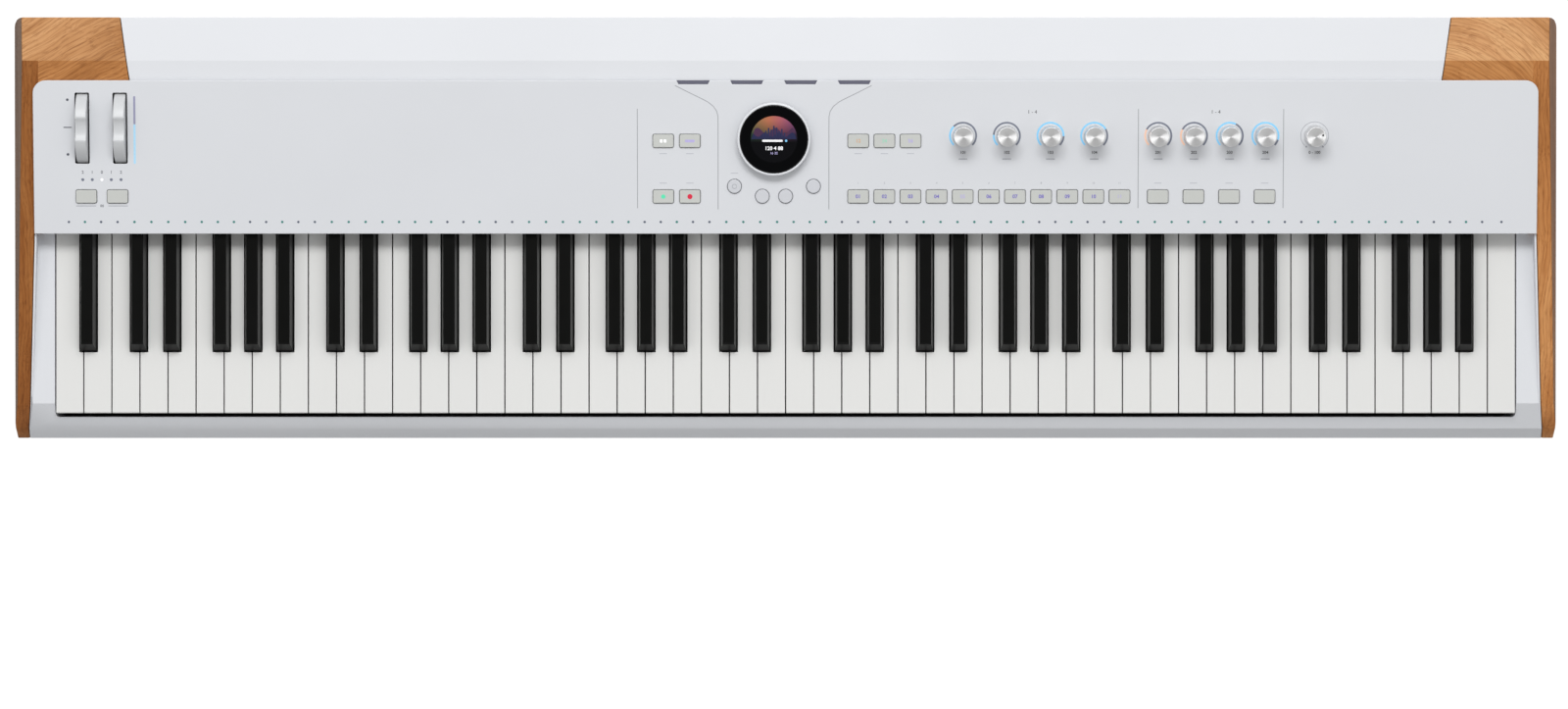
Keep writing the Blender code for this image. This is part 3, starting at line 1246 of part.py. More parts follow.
def build():
    """Build the keyboard."""
    white_shell = finish_material("white_shell", (0.80, 0.81, 0.83), 0.45)
    panel_white = finish_material("panel_white", (0.74, 0.75, 0.78), 0.42)
    wood = finish_material("wood", (0.52, 0.27, 0.12), 0.5)
    ivory = finish_material("white_key", (0.78, 0.79, 0.78), 0.3)
    ebony = finish_material("black_key", (0.012, 0.012, 0.013), 0.4)
    cap_grey = finish_material("button_cap", (0.62, 0.63, 0.58), 0.5)
    metal = finish_material("spun_metal", (0.75, 0.75, 0.75), 0.3, 1.0)
    glass = finish_material("display_glass", (0.01, 0.01, 0.012), 0.08)
    wheel_white = finish_material("wheel_white", (0.80, 0.80, 0.79), 0.35)
    dark = finish_material("dark_plastic", (0.03, 0.03, 0.035), 0.5)
    green = finish_material("board_green", (0.03, 0.16, 0.07), 0.5)
    steel = finish_material("zinc_steel", (0.55, 0.56, 0.58), 0.4, 1.0)
    rubber = finish_material("rubber", (0.03, 0.03, 0.03), 0.8)

    make_bottom_tray(dark)
    make_feet(rubber)
    make_key_surround(white_shell)
    make_rear_deck(white_shell)
    make_cheek("left_cheek", -1, wood)
    make_cheek("right_cheek", 1, wood)
    make_control_panel(panel_white)
    make_main_board(green)
    for name, rows in button_groups().items():
        make_button_strip(name, rows, cap_grey)
    make_round_buttons(white_shell)
    make_display(glass, white_shell)
    make_knobs(metal)
    make_wheel_bracket(dark)
    make_wheel("pitch_wheel", PITCH_WHEEL_X, wheel_white)
    make_wheel("mod_wheel", MOD_WHEEL_X, wheel_white)
    make_keybed_frame(steel)
    make_keys(ivory, ebony)
    make_jack_plate(dark)


build()
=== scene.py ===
"""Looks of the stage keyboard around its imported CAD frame. Metres, +Z up, the player at -Y."""
import math

import bmesh
import bpy
from mathutils import Matrix, Vector


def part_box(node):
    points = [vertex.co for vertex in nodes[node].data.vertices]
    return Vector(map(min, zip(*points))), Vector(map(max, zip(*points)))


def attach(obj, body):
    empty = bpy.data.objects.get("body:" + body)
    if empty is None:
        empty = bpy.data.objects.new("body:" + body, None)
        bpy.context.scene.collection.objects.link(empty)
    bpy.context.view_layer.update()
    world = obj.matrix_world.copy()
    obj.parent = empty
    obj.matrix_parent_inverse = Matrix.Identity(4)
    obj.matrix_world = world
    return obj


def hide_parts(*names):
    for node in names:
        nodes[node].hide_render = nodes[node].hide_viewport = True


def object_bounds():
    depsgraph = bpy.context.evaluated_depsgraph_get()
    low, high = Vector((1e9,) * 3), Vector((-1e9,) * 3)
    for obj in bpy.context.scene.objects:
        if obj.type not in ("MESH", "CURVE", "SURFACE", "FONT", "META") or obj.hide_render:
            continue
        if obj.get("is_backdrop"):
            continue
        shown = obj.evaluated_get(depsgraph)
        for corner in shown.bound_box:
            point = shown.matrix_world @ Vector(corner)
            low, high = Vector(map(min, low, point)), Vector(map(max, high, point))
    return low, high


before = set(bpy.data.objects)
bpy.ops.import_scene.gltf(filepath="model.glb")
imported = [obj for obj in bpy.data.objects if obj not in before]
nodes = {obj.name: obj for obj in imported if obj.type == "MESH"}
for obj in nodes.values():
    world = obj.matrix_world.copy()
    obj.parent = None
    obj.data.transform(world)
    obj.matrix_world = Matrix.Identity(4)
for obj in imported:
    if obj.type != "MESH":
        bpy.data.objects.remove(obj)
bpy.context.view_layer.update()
HOUSING = "housing"

# The panel's own frame: x, v up the slope from the front edge, h above the top face
PANEL_FRONT_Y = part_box("control_panel")[0].y
PANEL_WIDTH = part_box("control_panel")[1].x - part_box("control_panel")[0].x
PANEL_FRONT_Z, PANEL_SLOPE = 0.092, math.radians(5)
PANEL = Matrix.Translation((0, PANEL_FRONT_Y, PANEL_FRONT_Z)) @ Matrix.Rotation(PANEL_SLOPE, 4, "X")
PANEL_DEPTH, PANEL_THICKNESS = 0.128, 0.003

# What the light brings: a surface of this reflectance shows as full white
LIGHT = 1.15


def lin(red, green, blue, share=1.0):
    """Return the linear colour that shows as these 0-255 values under the scene's light."""
    out = []
    for value in (red, green, blue):
        c = value / 255
        c = c / 12.92 if c <= 0.04045 else ((c + 0.055) / 1.055) ** 2.4
        out.append(c * share / LIGHT)
    return (*out, 1.0)


# Materials

class Tree:
    """A short way to add nodes to a material or the world."""

    def __init__(self, owner):
        owner.use_nodes = True
        self.tree = owner.node_tree

    def add(self, kind, **values):
        """Add a node, with its settings and inputs by name. Names of inputs have _ for a space."""
        node = self.tree.nodes.new(kind)
        for key, value in values.items():
            if hasattr(node, key):
                setattr(node, key, value)
            else:
                self.put(node, key.replace("_", " "), value)
        return node

    def put(self, node, key, value):
        """Set or link one input of a node, given by its name or as in0, in1 and so on."""
        socket = node.inputs[int(key[2:])] if key.startswith("in") and key[2:].isdigit() else node.inputs[key]
        if isinstance(value, bpy.types.NodeSocket):
            self.tree.links.new(value, socket)
        elif isinstance(value, bpy.types.Node):
            self.tree.links.new(value.outputs[0], socket)
        else:
            socket.default_value = value

    def ramp(self, value, *stops):
        """Return the colour of a ramp of (place, colour) stops."""
        node = self.add("ShaderNodeValToRGB", Fac=value)
        elements = node.color_ramp.elements
        while len(elements) < len(stops):
            elements.new(0.5)
        for element, (place, colour) in zip(elements, stops):
            element.position = place
            element.color = colour if len(colour) == 4 else (*colour, 1.0)
        return node.outputs["Color"]


class Nodes(Tree):
    """The nodes of one new material."""

    def __init__(self, name):
        self.material = bpy.data.materials.new(name)
        super().__init__(self.material)
        self.shader = self.tree.nodes["Principled BSDF"]
        self.output = self.tree.nodes["Material Output"]

    def look(self, **values):
        """Set inputs of the Principled shader and return the material."""
        for key, value in values.items():
            self.put(self.shader, key.replace("_", " "), value)
        return self.material

    def place(self):
        """Return the place in object space, in metres."""
        return self.add("ShaderNodeTexCoord").outputs["Object"]

    def noise(self, scale, detail):
        """Return the value of a noise in object space."""
        return self.add("ShaderNodeTexNoise", Scale=scale, Detail=detail, Vector=self.place()).outputs["Fac"]

    def multiply(self, share, first, second):
        """Return a colour multiplied by another, as far as the share says."""
        node = self.add("ShaderNodeMix", data_type="RGBA", blend_type="MULTIPLY", in0=share, in6=first,
                        in7=second)
        return node.outputs[2]

    def bump(self, value, distance, strength=1.0):
        """Give the shader a bump from a value, its depth in metres."""
        self.look(Normal=self.add("ShaderNodeBump", Height=value, Distance=distance, Strength=strength))


def moulded(name, colour, roughness, grain=0.00002, spread=0.02, **more):
    """Return a moulded plastic: a fine grain, a slight drift of tone and uneven gloss."""
    n = Nodes(name)
    low = tuple(c * (1 - spread) for c in colour[:3])
    high = tuple(c * (1 + spread) for c in colour[:3])
    tone = n.ramp(n.noise(9.0, 4.0), (0.3, low), (0.7, high))
    n.bump(n.noise(1400.0, 2.0), grain)
    gloss = n.add("ShaderNodeMapRange", Value=n.noise(60.0, 3.0), To_Min=roughness - 0.04,
                  To_Max=roughness + 0.05)
    return n.look(Base_Color=tone, Roughness=gloss, Coat_Roughness=0.25, **more)


def oiled_wood(name, plain, dark, light, turn=0.0, centre=None):
    """Return an oiled hardwood, its grain turned from X in degrees, or in arcs about a centre in plan."""
    n = Nodes(name)
    if centre:
        away = n.add("ShaderNodeVectorMath", operation="SUBTRACT", in0=n.place(), in1=(*centre, 0.0))
        part = n.add("ShaderNodeSeparateXYZ", Vector=away)
        plan = n.add("ShaderNodeCombineXYZ", X=part.outputs[0], Y=part.outputs[1])
        radius = n.add("ShaderNodeVectorMath", operation="LENGTH", in0=plan)
        angle = n.add("ShaderNodeMath", operation="ARCTAN2", in0=part.outputs[1], in1=part.outputs[0])
        along = n.add("ShaderNodeMath", operation="MULTIPLY", in0=angle, in1=ARC_RADIUS)
        first = n.add("ShaderNodeCombineXYZ", X=along, Y=radius.outputs["Value"], Z=part.outputs[2])
    else:
        first = n.add("ShaderNodeMapping", Rotation=(0, 0, math.radians(turn)), Vector=n.place())
    warp = n.add("ShaderNodeTexNoise", Scale=7.0, Detail=3.0, Vector=first)
    shift = n.add("ShaderNodeVectorMath", operation="SCALE", in0=warp.outputs["Color"], Scale=0.030)
    moved = n.add("ShaderNodeVectorMath", operation="ADD", in0=first, in1=shift)
    long = n.add("ShaderNodeMapping", Scale=(0.10, 1.0, 1.0), Vector=moved)
    figure = n.add("ShaderNodeTexNoise", Scale=38.0, Detail=5.0, Roughness=0.62, Vector=long).outputs["Fac"]
    rings = n.add("ShaderNodeTexWave", wave_type="BANDS", bands_direction="Y", Scale=92.0, Distortion=8.0,
                  Detail=4.0, Detail_Scale=1.1, Vector=long).outputs["Fac"]
    fibres = n.add("ShaderNodeMapping", Scale=(0.035, 1.0, 1.0), Vector=moved)
    pores = n.add("ShaderNodeTexNoise", Scale=1500.0, Detail=2.0, Vector=fibres).outputs["Fac"]
    base = n.ramp(figure, (0.32, dark), (0.5, plain), (0.68, light))
    lines = n.ramp(rings, (0.0, (0.72, 0.64, 0.56)), (0.24, (0.95, 0.94, 0.93)), (1.0, (1.04, 1.04, 1.04)))
    specks = n.ramp(pores, (0.36, (0.60, 0.52, 0.46)), (0.47, (1.0, 1.0, 1.0)))
    done = n.multiply(0.7, n.multiply(0.62, base, lines), specks)
    n.bump(n.add("ShaderNodeMath", operation="ADD", in0=pores, in1=figure), 0.00010, 0.7)
    gloss = n.add("ShaderNodeMapRange", Value=figure, To_Min=0.50, To_Max=0.36)
    return n.look(Base_Color=done, Roughness=gloss, Specular_IOR_Level=0.20)


def spun_aluminium():
    """Return turned aluminium: fine rings about the piece's own Z axis and stretched highlights."""
    n = Nodes("spun_aluminium")
    part = n.add("ShaderNodeSeparateXYZ", Vector=n.place())
    plan = n.add("ShaderNodeCombineXYZ", X=part.outputs[0], Y=part.outputs[1])
    radius = n.add("ShaderNodeVectorMath", operation="LENGTH", in0=plan)
    rings = n.add("ShaderNodeTexNoise", noise_dimensions="1D", Scale=2600.0, Detail=3.0,
                  W=radius.outputs["Value"]).outputs["Fac"]
    n.bump(rings, 0.000012)
    tangent = n.add("ShaderNodeTangent", direction_type="RADIAL", axis="Z")
    tone = n.ramp(rings, (0.3, (0.792, 0.792, 0.792)), (0.7, (0.88, 0.88, 0.88)))
    return n.look(Base_Color=tone, Metallic=1.0, Roughness=0.46, Anisotropic=0.85, Tangent=tangent)


def black_glass():
    """Return polished black glass with the faintest unevenness."""
    n = Nodes("black_glass")
    n.bump(n.noise(90.0, 2.0), 0.000001)
    smear = n.add("ShaderNodeMapRange", Value=n.noise(140.0, 3.0), To_Min=0.035, To_Max=0.075)
    return n.look(Base_Color=(0.0015, 0.0016, 0.0020, 1.0), Roughness=smear)


def lamp(name, colour, strength):
    """Return a small lit or unlit light window with a soft diffuse body."""
    n = Nodes(name)
    cells = n.noise(700.0, 1.0)
    n.bump(cells, 0.00001)
    tone = n.ramp(cells, (0.3, tuple(c * 0.93 for c in colour[:3])), (0.7, colour))
    return n.look(Base_Color=tone, Roughness=0.35, Emission_Color=colour, Emission_Strength=strength)


def ink(name, colour, spread=0.03):
    """Return a matt printing ink."""
    return moulded(f"ink_{name}", colour, 0.6, grain=0.000004, spread=spread)


WHITE_SHELL = moulded("shell_white", lin(224, 226, 230), 0.46, spread=0.012)
PANEL_WHITE = moulded("panel_white", lin(219, 221, 225), 0.40, grain=0.000012, spread=0.010)
KEY_WHITE = moulded("key_white", lin(232, 232, 230), 0.24, grain=0.000004, spread=0.010, Coat_Weight=0.25)
KEY_BLACK = moulded("key_black", (0.0036, 0.0037, 0.0034), 0.33, grain=0.000012, spread=0.10,
                    Specular_IOR_Level=0.13)
CAP_GREY = moulded("button_cap", lin(200, 202, 198), 0.48, grain=0.00001)
ROUND_CAP = moulded("round_cap", lin(208, 210, 215), 0.44, grain=0.00001)
WHEEL_SATIN = moulded("wheel_satin", lin(206, 208, 210), 0.38, grain=0.000006, Coat_Weight=0.1)
DIAL_WHITE = moulded("dial_white", lin(226, 228, 232), 0.34, grain=0.000006, Coat_Weight=0.1)
# Dark plastic, also laid on the walls of the panel's holes as painted shade
DARK_PLASTIC_AND_HOLE_SHADE = moulded("dark_plastic", (0.021, 0.022, 0.024), 0.55, grain=0.00004, spread=0.12)
SOCKET_GREY = moulded("socket_grey", (0.030, 0.031, 0.034), 0.50, grain=0.00003, spread=0.12)
RUBBER = moulded("foot_rubber", (0.017, 0.017, 0.018), 0.85, grain=0.00008, spread=0.2)
# Zinc steel, darker than bare zinc: partly painted shade, for the keybed frame seen down the gaps between the
# keys
ZINC_AND_GAP_SHADE = moulded("zinc_steel", (0.30, 0.31, 0.33), 0.38, spread=0.12, Metallic=1.0)
BOARD = moulded("board_green", (0.012, 0.085, 0.036), 0.42, grain=0.00003, spread=0.15)
SPUN = spun_aluminium()
GLASS = black_glass()

# The grain's turn on the strips and the left block, and the centre and radius of its arcs on the right block
STRIP_TURN, BLOCK_TURN, ARC_CENTRE, ARC_RADIUS = 90, -27, (0.546, 0.066), 0.085
# Per side: strip, block, a darker copy of the block's wood below the crease as painted shade, and a darker,
# greyer copy of the strip's wood on the leaning side as painted shade
WOOD_LEFT = [
    oiled_wood("wood_strip_left", lin(148, 90, 42), lin(126, 74, 31), lin(170, 112, 60), STRIP_TURN),
    oiled_wood("wood_block_left", lin(201, 147, 97), lin(172, 116, 66), lin(222, 170, 120), BLOCK_TURN),
    oiled_wood("wood_skirt_left", lin(190, 130, 76), lin(162, 104, 54), lin(210, 152, 96), BLOCK_TURN),
    oiled_wood("wood_shaded_side_left", lin(120, 84, 50), lin(100, 66, 36), lin(138, 98, 62), STRIP_TURN),
]
WOOD_RIGHT = [
    oiled_wood("wood_strip_right", lin(190, 127, 72), lin(166, 106, 54), lin(210, 150, 94), STRIP_TURN),
    oiled_wood("wood_block_right", lin(208, 154, 104), lin(180, 124, 72), lin(228, 180, 128), 0, ARC_CENTRE),
    oiled_wood("wood_skirt_right", lin(186, 126, 72), lin(158, 100, 50), lin(206, 148, 92), 0, ARC_CENTRE),
    oiled_wood("wood_shaded_side_right", lin(150, 100, 54), lin(124, 78, 38), lin(168, 118, 70), STRIP_TURN),
]
LAMP_OFF = lamp("lamp_slate", lin(122, 127, 142), 0.0)
LAMP_BLUE = lamp("lamp_blue", lin(128, 198, 238), 0.25)
LAMP_PEACH = lamp("lamp_peach", lin(240, 196, 170), 0.2)
LAMP_WHITE = lamp("lamp_white", lin(244, 244, 246), 0.35)
LAMP_TEAL = lamp("lamp_teal", lin(58, 134, 128), 0.0)
LAMP_DUSK = lamp("lamp_dusk", lin(92, 100, 116), 0.0)
LAMP_GREEN = lamp("lamp_green", lin(90, 215, 170), 0.3)
LAMP_RED = lamp("lamp_red", lin(205, 45, 70), 0.3)
LAMP_VIOLET = lamp("lamp_violet", lin(108, 96, 190), 0.12)
LAMP_LAVENDER = lamp("lamp_lavender", lin(186, 178, 226), 0.1)
LAMP_TAN = lamp("lamp_tan", lin(214, 170, 130), 0.1)
LAMP_MINT = lamp("lamp_mint", lin(150, 214, 186), 0.1)
LAMP_SKY = lamp("lamp_sky", lin(168, 214, 240), 0.2)
LAMP_HAZE = lamp("lamp_haze", lin(158, 158, 186), 0.0)
# Painted shade for the floors of the panel's notches
NOTCH_PAINTED_SHADE = moulded("notch_dark", lin(97, 97, 113), 0.6)
INK_GREY = ink("grey", lin(150, 152, 160))
INK_LINE = ink("line", lin(158, 160, 164), 0.02)
INK_FAINT = ink("faint", lin(190, 192, 199), 0.02)
INK_MID = ink("mid", lin(158, 160, 167))
INK_SLATE = ink("slate", lin(84, 87, 97), 0.04)
INK_BLACK = ink("black", lin(34, 35, 40), 0.06)
INK_DARK = ink("dark", lin(92, 94, 102), 0.05)


# Making pieces

def dress(item, body, slot, *replaced, material=None):
    """Give a new piece its material and body, and hide the CAD nodes it stands for; its record slot is not
    used.
    """
    if material:
        item.data.materials.clear()
        item.data.materials.append(material)
    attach(item, body)
    if replaced:
        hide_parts(*replaced)
    return item


def new_piece(name, mesh, matrix=Matrix.Identity(4)):
    """Link a mesh as an object at a place."""
    item = bpy.data.objects.new(name, mesh)
    item.matrix_world = matrix
    bpy.context.scene.collection.objects.link(item)
    return item


def smooth(item, angle=35.0):
    """Shade smooth below an angle, with flat faces kept flat."""
    item.data.shade_smooth()
    item.data.set_sharp_from_angle(angle=math.radians(angle))
    item.modifiers.new("normals", "WEIGHTED_NORMAL").keep_sharp = True
    return item


def soften(item, width, segments):
    """Round the edges of a hard-edged mesh."""
    step = item.modifiers.new("edges", "BEVEL")
    step.width = width
    step.segments = segments
    step.limit_method = "ANGLE"
    step.angle_limit = math.radians(28)
    step.miter_outer = "MITER_ARC"
    return smooth(item)


def cad_copy(node, whole_faces=True):
    """Return a new object with the CAD node's own shape, its flat faces whole again if asked."""
    shape = bmesh.new()
    shape.from_mesh(nodes[node].data)
    bmesh.ops.remove_doubles(shape, verts=shape.verts, dist=0.000002)
    if whole_faces:
        bmesh.ops.dissolve_limit(shape, angle_limit=math.radians(0.6), verts=shape.verts, edges=shape.edges)
    mesh = bpy.data.meshes.new(f"{node}_looks")
    shape.to_mesh(mesh)
    shape.free()
    return new_piece(mesh.name, mesh)


def mesh_of(name, vertices, faces):
    """Return a mesh with its faces turned outwards."""
    mesh = bpy.data.meshes.new(name)
    mesh.from_pydata([tuple(v) for v in vertices], [], faces)
    shape = bmesh.new()
    shape.from_mesh(mesh)
    bmesh.ops.recalc_face_normals(shape, faces=shape.faces)
    shape.to_mesh(mesh)
    shape.free()
    return mesh


def lathe(name, profile, steps=96, closed=False):
    """Turn (radius, height) points about Z. Points with no radius become one vertex."""
    vertices, rings, faces = [], [], []
    for radius, height in profile:
        if radius < 1e-7:
            rings.append([len(vertices)])
            vertices.append((0.0, 0.0, height))
        else:
            rings.append(list(range(len(vertices), len(vertices) + steps)))
            turns = [2 * math.pi * i / steps for i in range(steps)]
            vertices += [(radius * math.cos(turn), radius * math.sin(turn), height) for turn in turns]
    pairs = list(zip(rings, rings[1:]))
    if closed:
        pairs.append((rings[-1], rings[0]))
    for a, b in pairs:
        for i in range(steps):
            j = (i + 1) % steps
            if len(a) == 1 and len(b) == 1:
                break
            if len(a) == 1:
                faces.append((a[0], b[i], b[j]))
            elif len(b) == 1:
                faces.append((a[i], b[0], a[j]))
            else:
                faces.append((a[i], b[i], b[j], a[j]))
    return mesh_of(name, vertices, faces)


def arc_points(centre, radius, start, end, steps):
    """Return points on an arc, in degrees."""
    out = []
    for i in range(steps + 1):
        a = math.radians(start + (end - start) * i / steps)
        out.append((centre[0] + radius * math.cos(a), centre[1] + radius * math.sin(a)))
    return out


def rounded(width, depth, radius, centre=(0.0, 0.0), steps=6):
    """Return the outline of a rectangle with round corners."""
    points = []
    for k, (sx, sy) in enumerate(((1, 1), (-1, 1), (-1, -1), (1, -1))):
        middle = (centre[0] + sx * (width / 2 - radius), centre[1] + sy * (depth / 2 - radius))
        points += arc_points(middle, radius, 90 * k, 90 * k + 90, steps)
    return points


def circle(radius, centre, steps=48):
    """Return the outline of a circle."""
    return arc_points(centre, radius, 0, 360 * (steps - 1) / steps, steps - 1)


def curve_mesh(name, curve):
    """Turn a curve into a mesh, and delete the curve."""
    item = bpy.data.objects.new(name, curve)
    bpy.context.scene.collection.objects.link(item)
    graph = bpy.context.evaluated_depsgraph_get()
    mesh = bpy.data.meshes.new_from_object(item.evaluated_get(graph))
    bpy.data.objects.remove(item)
    bpy.data.curves.remove(curve)
    return mesh


def plate(name, outlines, low, high, edge=0.0, resolution=2):
    """Return the mesh of flat outlines, nested ones as holes, with rolled edges."""
    curve = bpy.data.curves.new(name, "CURVE")
    curve.dimensions = "2D"
    curve.fill_mode = "BOTH"
    curve.extrude = (high - low) / 2 - edge
    curve.bevel_depth = edge
    curve.bevel_resolution = resolution
    curve.offset = -edge
    for outline in outlines:
        spline = curve.splines.new("POLY")
        spline.points.add(len(outline) - 1)
        for point, (x, y) in zip(spline.points, outline):
            point.co = (x, y, 0.0, 1.0)
        spline.use_cyclic_u = True
    mesh = curve_mesh(name, curve)
    shape = bmesh.new()
    shape.from_mesh(mesh)
    bmesh.ops.remove_doubles(shape, verts=shape.verts, dist=0.000001)
    bmesh.ops.recalc_face_normals(shape, faces=shape.faces)
    shape.to_mesh(mesh)
    shape.free()
    mesh.transform(Matrix.Translation((0, 0, (low + high) / 2)))
    mesh.name = name
    return mesh


def joined(name, meshes):
    """Return one mesh of several."""
    shape = bmesh.new()
    for mesh in meshes:
        shape.from_mesh(mesh)
    whole = bpy.data.meshes.new(name)
    shape.to_mesh(whole)
    shape.free()
    return whole


def stand_in(node, mesh, place, body, slot, material, angle=40):
    """Show a CAD node by a finer mesh of the same size."""
    mesh.name = f"{node}_looks"
    item = smooth(new_piece(f"{node}_looks", mesh, place), angle)
    return dress(item, body, slot, node, material=material)


# Housing

# The crease's distance from the rear, the block's front, the strip's inner side, and the least lean outwards
DECK_CREASE, BLOCK_FRONT_Y, STRIP_X, LEAN = 0.0362, 0.108, 0.6222, 0.25


def wooden_cheek(node, woods):
    """Rounded wooden end: strip, corner block above the crease, the block below the crease in a darker copy
    of its wood as painted shade, and the leaning outer side in a darker, greyer copy of the strip's wood as
    painted shade.
    """
    item = cad_copy(node)
    shape = bmesh.new()
    shape.from_mesh(item.data)
    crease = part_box(node)[1].y - DECK_CREASE
    for place, direction in (((0, crease, 0), (0, 1, 0)), ((0, BLOCK_FRONT_Y, 0), (0, 1, 0)),
                             ((STRIP_X, 0, 0), (1, 0, 0)), ((-STRIP_X, 0, 0), (1, 0, 0))):
        bmesh.ops.bisect_plane(shape, geom=shape.verts[:] + shape.edges[:] + shape.faces[:], dist=1e-7,
                               plane_co=place, plane_no=direction)
    strip, block, shaded_skirt, side = range(4)
    for face in shape.faces:
        middle = face.calc_center_median()
        face.material_index = strip
        if middle.y > crease:
            face.material_index = block
        # Painted shade: the block below the crease gets a darker copy of its wood
        elif middle.y > BLOCK_FRONT_Y and abs(middle.x) < STRIP_X:
            face.material_index = shaded_skirt
        # Painted shade: the leaning outer side gets a darker, greyer copy of the strip's wood
        if abs(middle.x) > STRIP_X and face.normal.x * middle.x > abs(middle.x) * LEAN:
            face.material_index = side
    item.data.materials.clear()
    for wood in woods:
        item.data.materials.append(wood)
    shape.to_mesh(item.data)
    shape.free()
    soften(item, 0.0013, 4)
    return dress(item, HOUSING, "wood", node)


def shell(node, material, slot, edge, segments=3, body=HOUSING, whole_faces=True):
    """Show a CAD node with rounded edges and its own finish."""
    item = soften(cad_copy(node, whole_faces), edge, segments)
    return dress(item, body, slot, node, material=material)


wooden_cheek("left_cheek", WOOD_LEFT)
wooden_cheek("right_cheek", WOOD_RIGHT)
shell("rear_deck", WHITE_SHELL, "white_shell", 0.0006, whole_faces=False)
shell("key_surround", WHITE_SHELL, "white_shell", 0.0008, whole_faces=False)
tray = shell("bottom_tray", DARK_PLASTIC_AND_HOLE_SHADE, "dark_plastic", 0.0004, 2, whole_faces=False)
# Slightly less deep, so that the tray's rolled corners stay inside the plane of the rear wall
tray.data.transform(Matrix.Diagonal((1.0, 0.9997, 1.0, 1.0)))
# Partly painted shade: the keybed frame's darkened zinc keeps the gaps between the keys dark
shell("keybed_frame", ZINC_AND_GAP_SHADE, "zinc_steel", 0.0004, 2, whole_faces=False)
shell("wheel_bracket", DARK_PLASTIC_AND_HOLE_SHADE, "dark_plastic", 0.0003, 2, whole_faces=False)
shell("main_board", BOARD, "board", 0.0002, 1, whole_faces=False)

for name in ("foot_front_left", "foot_front_right", "foot_rear_left", "foot_rear_right"):
    low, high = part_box(name)
    radius = (high.x - low.x) / 2
    profile = [(0, high.z), (radius - 0.0006, high.z), (radius, high.z - 0.0006), (radius, 0.0032),
               (radius - 0.0005, 0.0018), (radius - 0.0017, 0.0003), (radius - 0.0024, 0.0), (0.0078, 0.0),
               (0.0070, 0.0006), (0.0052, 0.0006), (0.0045, 0.0), (0, 0.0)]
    middle = Matrix.Translation(((low.x + high.x) / 2, (low.y + high.y) / 2, 0))
    stand_in(name, lathe(name, profile, 64), middle, HOUSING, "rubber", RUBBER)

# Places of the controls on the panel: x from the panel's left end, v from its front edge
LEFT = -PANEL_WIDTH / 2
NOTCHES = [LEFT + x for x in (0.5496, 0.5943, 0.6391, 0.6838)]
WHEELS = {"pitch_wheel": LEFT + 0.0408, "mod_wheel": LEFT + 0.0724}
WHEEL_V = 0.0881
ROW_LOW, ROW_HIGH = 0.0312, 0.0776
OCTAVE = [LEFT + x for x in (0.0438, 0.0698)]
MODE = [LEFT + x for x in (0.5246, 0.5468)]
SOUND = [LEFT + 0.6870 + 0.02178 * i for i in range(11)]
EFFECT = [LEFT + 0.9367 + 0.02967 * i for i in range(4)]
BUTTONS = {
    "octave_buttons": [(x, ROW_LOW) for x in OCTAVE],
    "mode_buttons": [(x, v) for v in (ROW_LOW, ROW_HIGH) for x in MODE],
    "part_buttons": [(x, ROW_HIGH) for x in SOUND[:3]],
    "sound_buttons": [(x, ROW_LOW) for x in SOUND],
    "effect_buttons": [(x, ROW_LOW) for x in EFFECT],
}
DISPLAY = (LEFT + 0.6168, 0.0794)
ROUND_PLACES = ((-0.0329, 0.0397), (-0.0097, 0.0314), (0.0097, 0.0314), (0.0329, 0.0397))
ROUND_BUTTONS = {f"round_button_{i + 1}": (DISPLAY[0] + x, v) for i, (x, v) in enumerate(ROUND_PLACES)}
KNOB_V = 0.0819
KNOBS = {f"sound_knob_{i + 1}": LEFT + 0.7743 + 0.0364 * i for i in range(4)}
KNOBS.update({f"effect_knob_{i + 1}": LEFT + 0.9368 + 0.02975 * i for i in range(4)})
KNOBS["volume_knob"] = LEFT + 1.0670

# Width, depth and corner radius of a wheel's slot, a button's hole and its cap, and radii of the round holes
SLOT, BUTTON_HOLE, BUTTON_CAP = (0.0120, 0.0592, 0.0012), (0.0177, 0.0114, 0.00155), (0.0170, 0.0107, 0.0013)
ROUND_HOLE, KNOB_HOLE, DISPLAY_HOLE = 0.00605, 0.0035, 0.0270
NOTCH_HALF, NOTCH_FLOOR_HALF, NOTCH_DEPTH = 0.0139, 0.01225, 0.0033
PANEL_CORNER, PANEL_EDGE, SIDE_RIM, REAR_RIM = 0.0107, 0.0005, 0.010, 0.006


def panel_outline():
    """Outer edge of the panel: round rear corners and four notches."""
    half, middle_v = PANEL_WIDTH / 2, PANEL_DEPTH - PANEL_CORNER
    points = [(-half, 0.0), (half, 0.0)]
    points += arc_points((half - PANEL_CORNER, middle_v), PANEL_CORNER, 0, 90, 12)
    for centre in reversed(NOTCHES):
        floor_v = PANEL_DEPTH - NOTCH_DEPTH
        points += [(centre + NOTCH_HALF, PANEL_DEPTH), (centre + NOTCH_FLOOR_HALF, floor_v),
                   (centre - NOTCH_FLOOR_HALF, floor_v), (centre - NOTCH_HALF, PANEL_DEPTH)]
    points += arc_points((PANEL_CORNER - half, middle_v), PANEL_CORNER, 90, 180, 12)
    return points


def on_panel(x, v):
    """Return the frame of a control that stands on the panel."""
    return PANEL @ Matrix.Translation((x, v, 0))


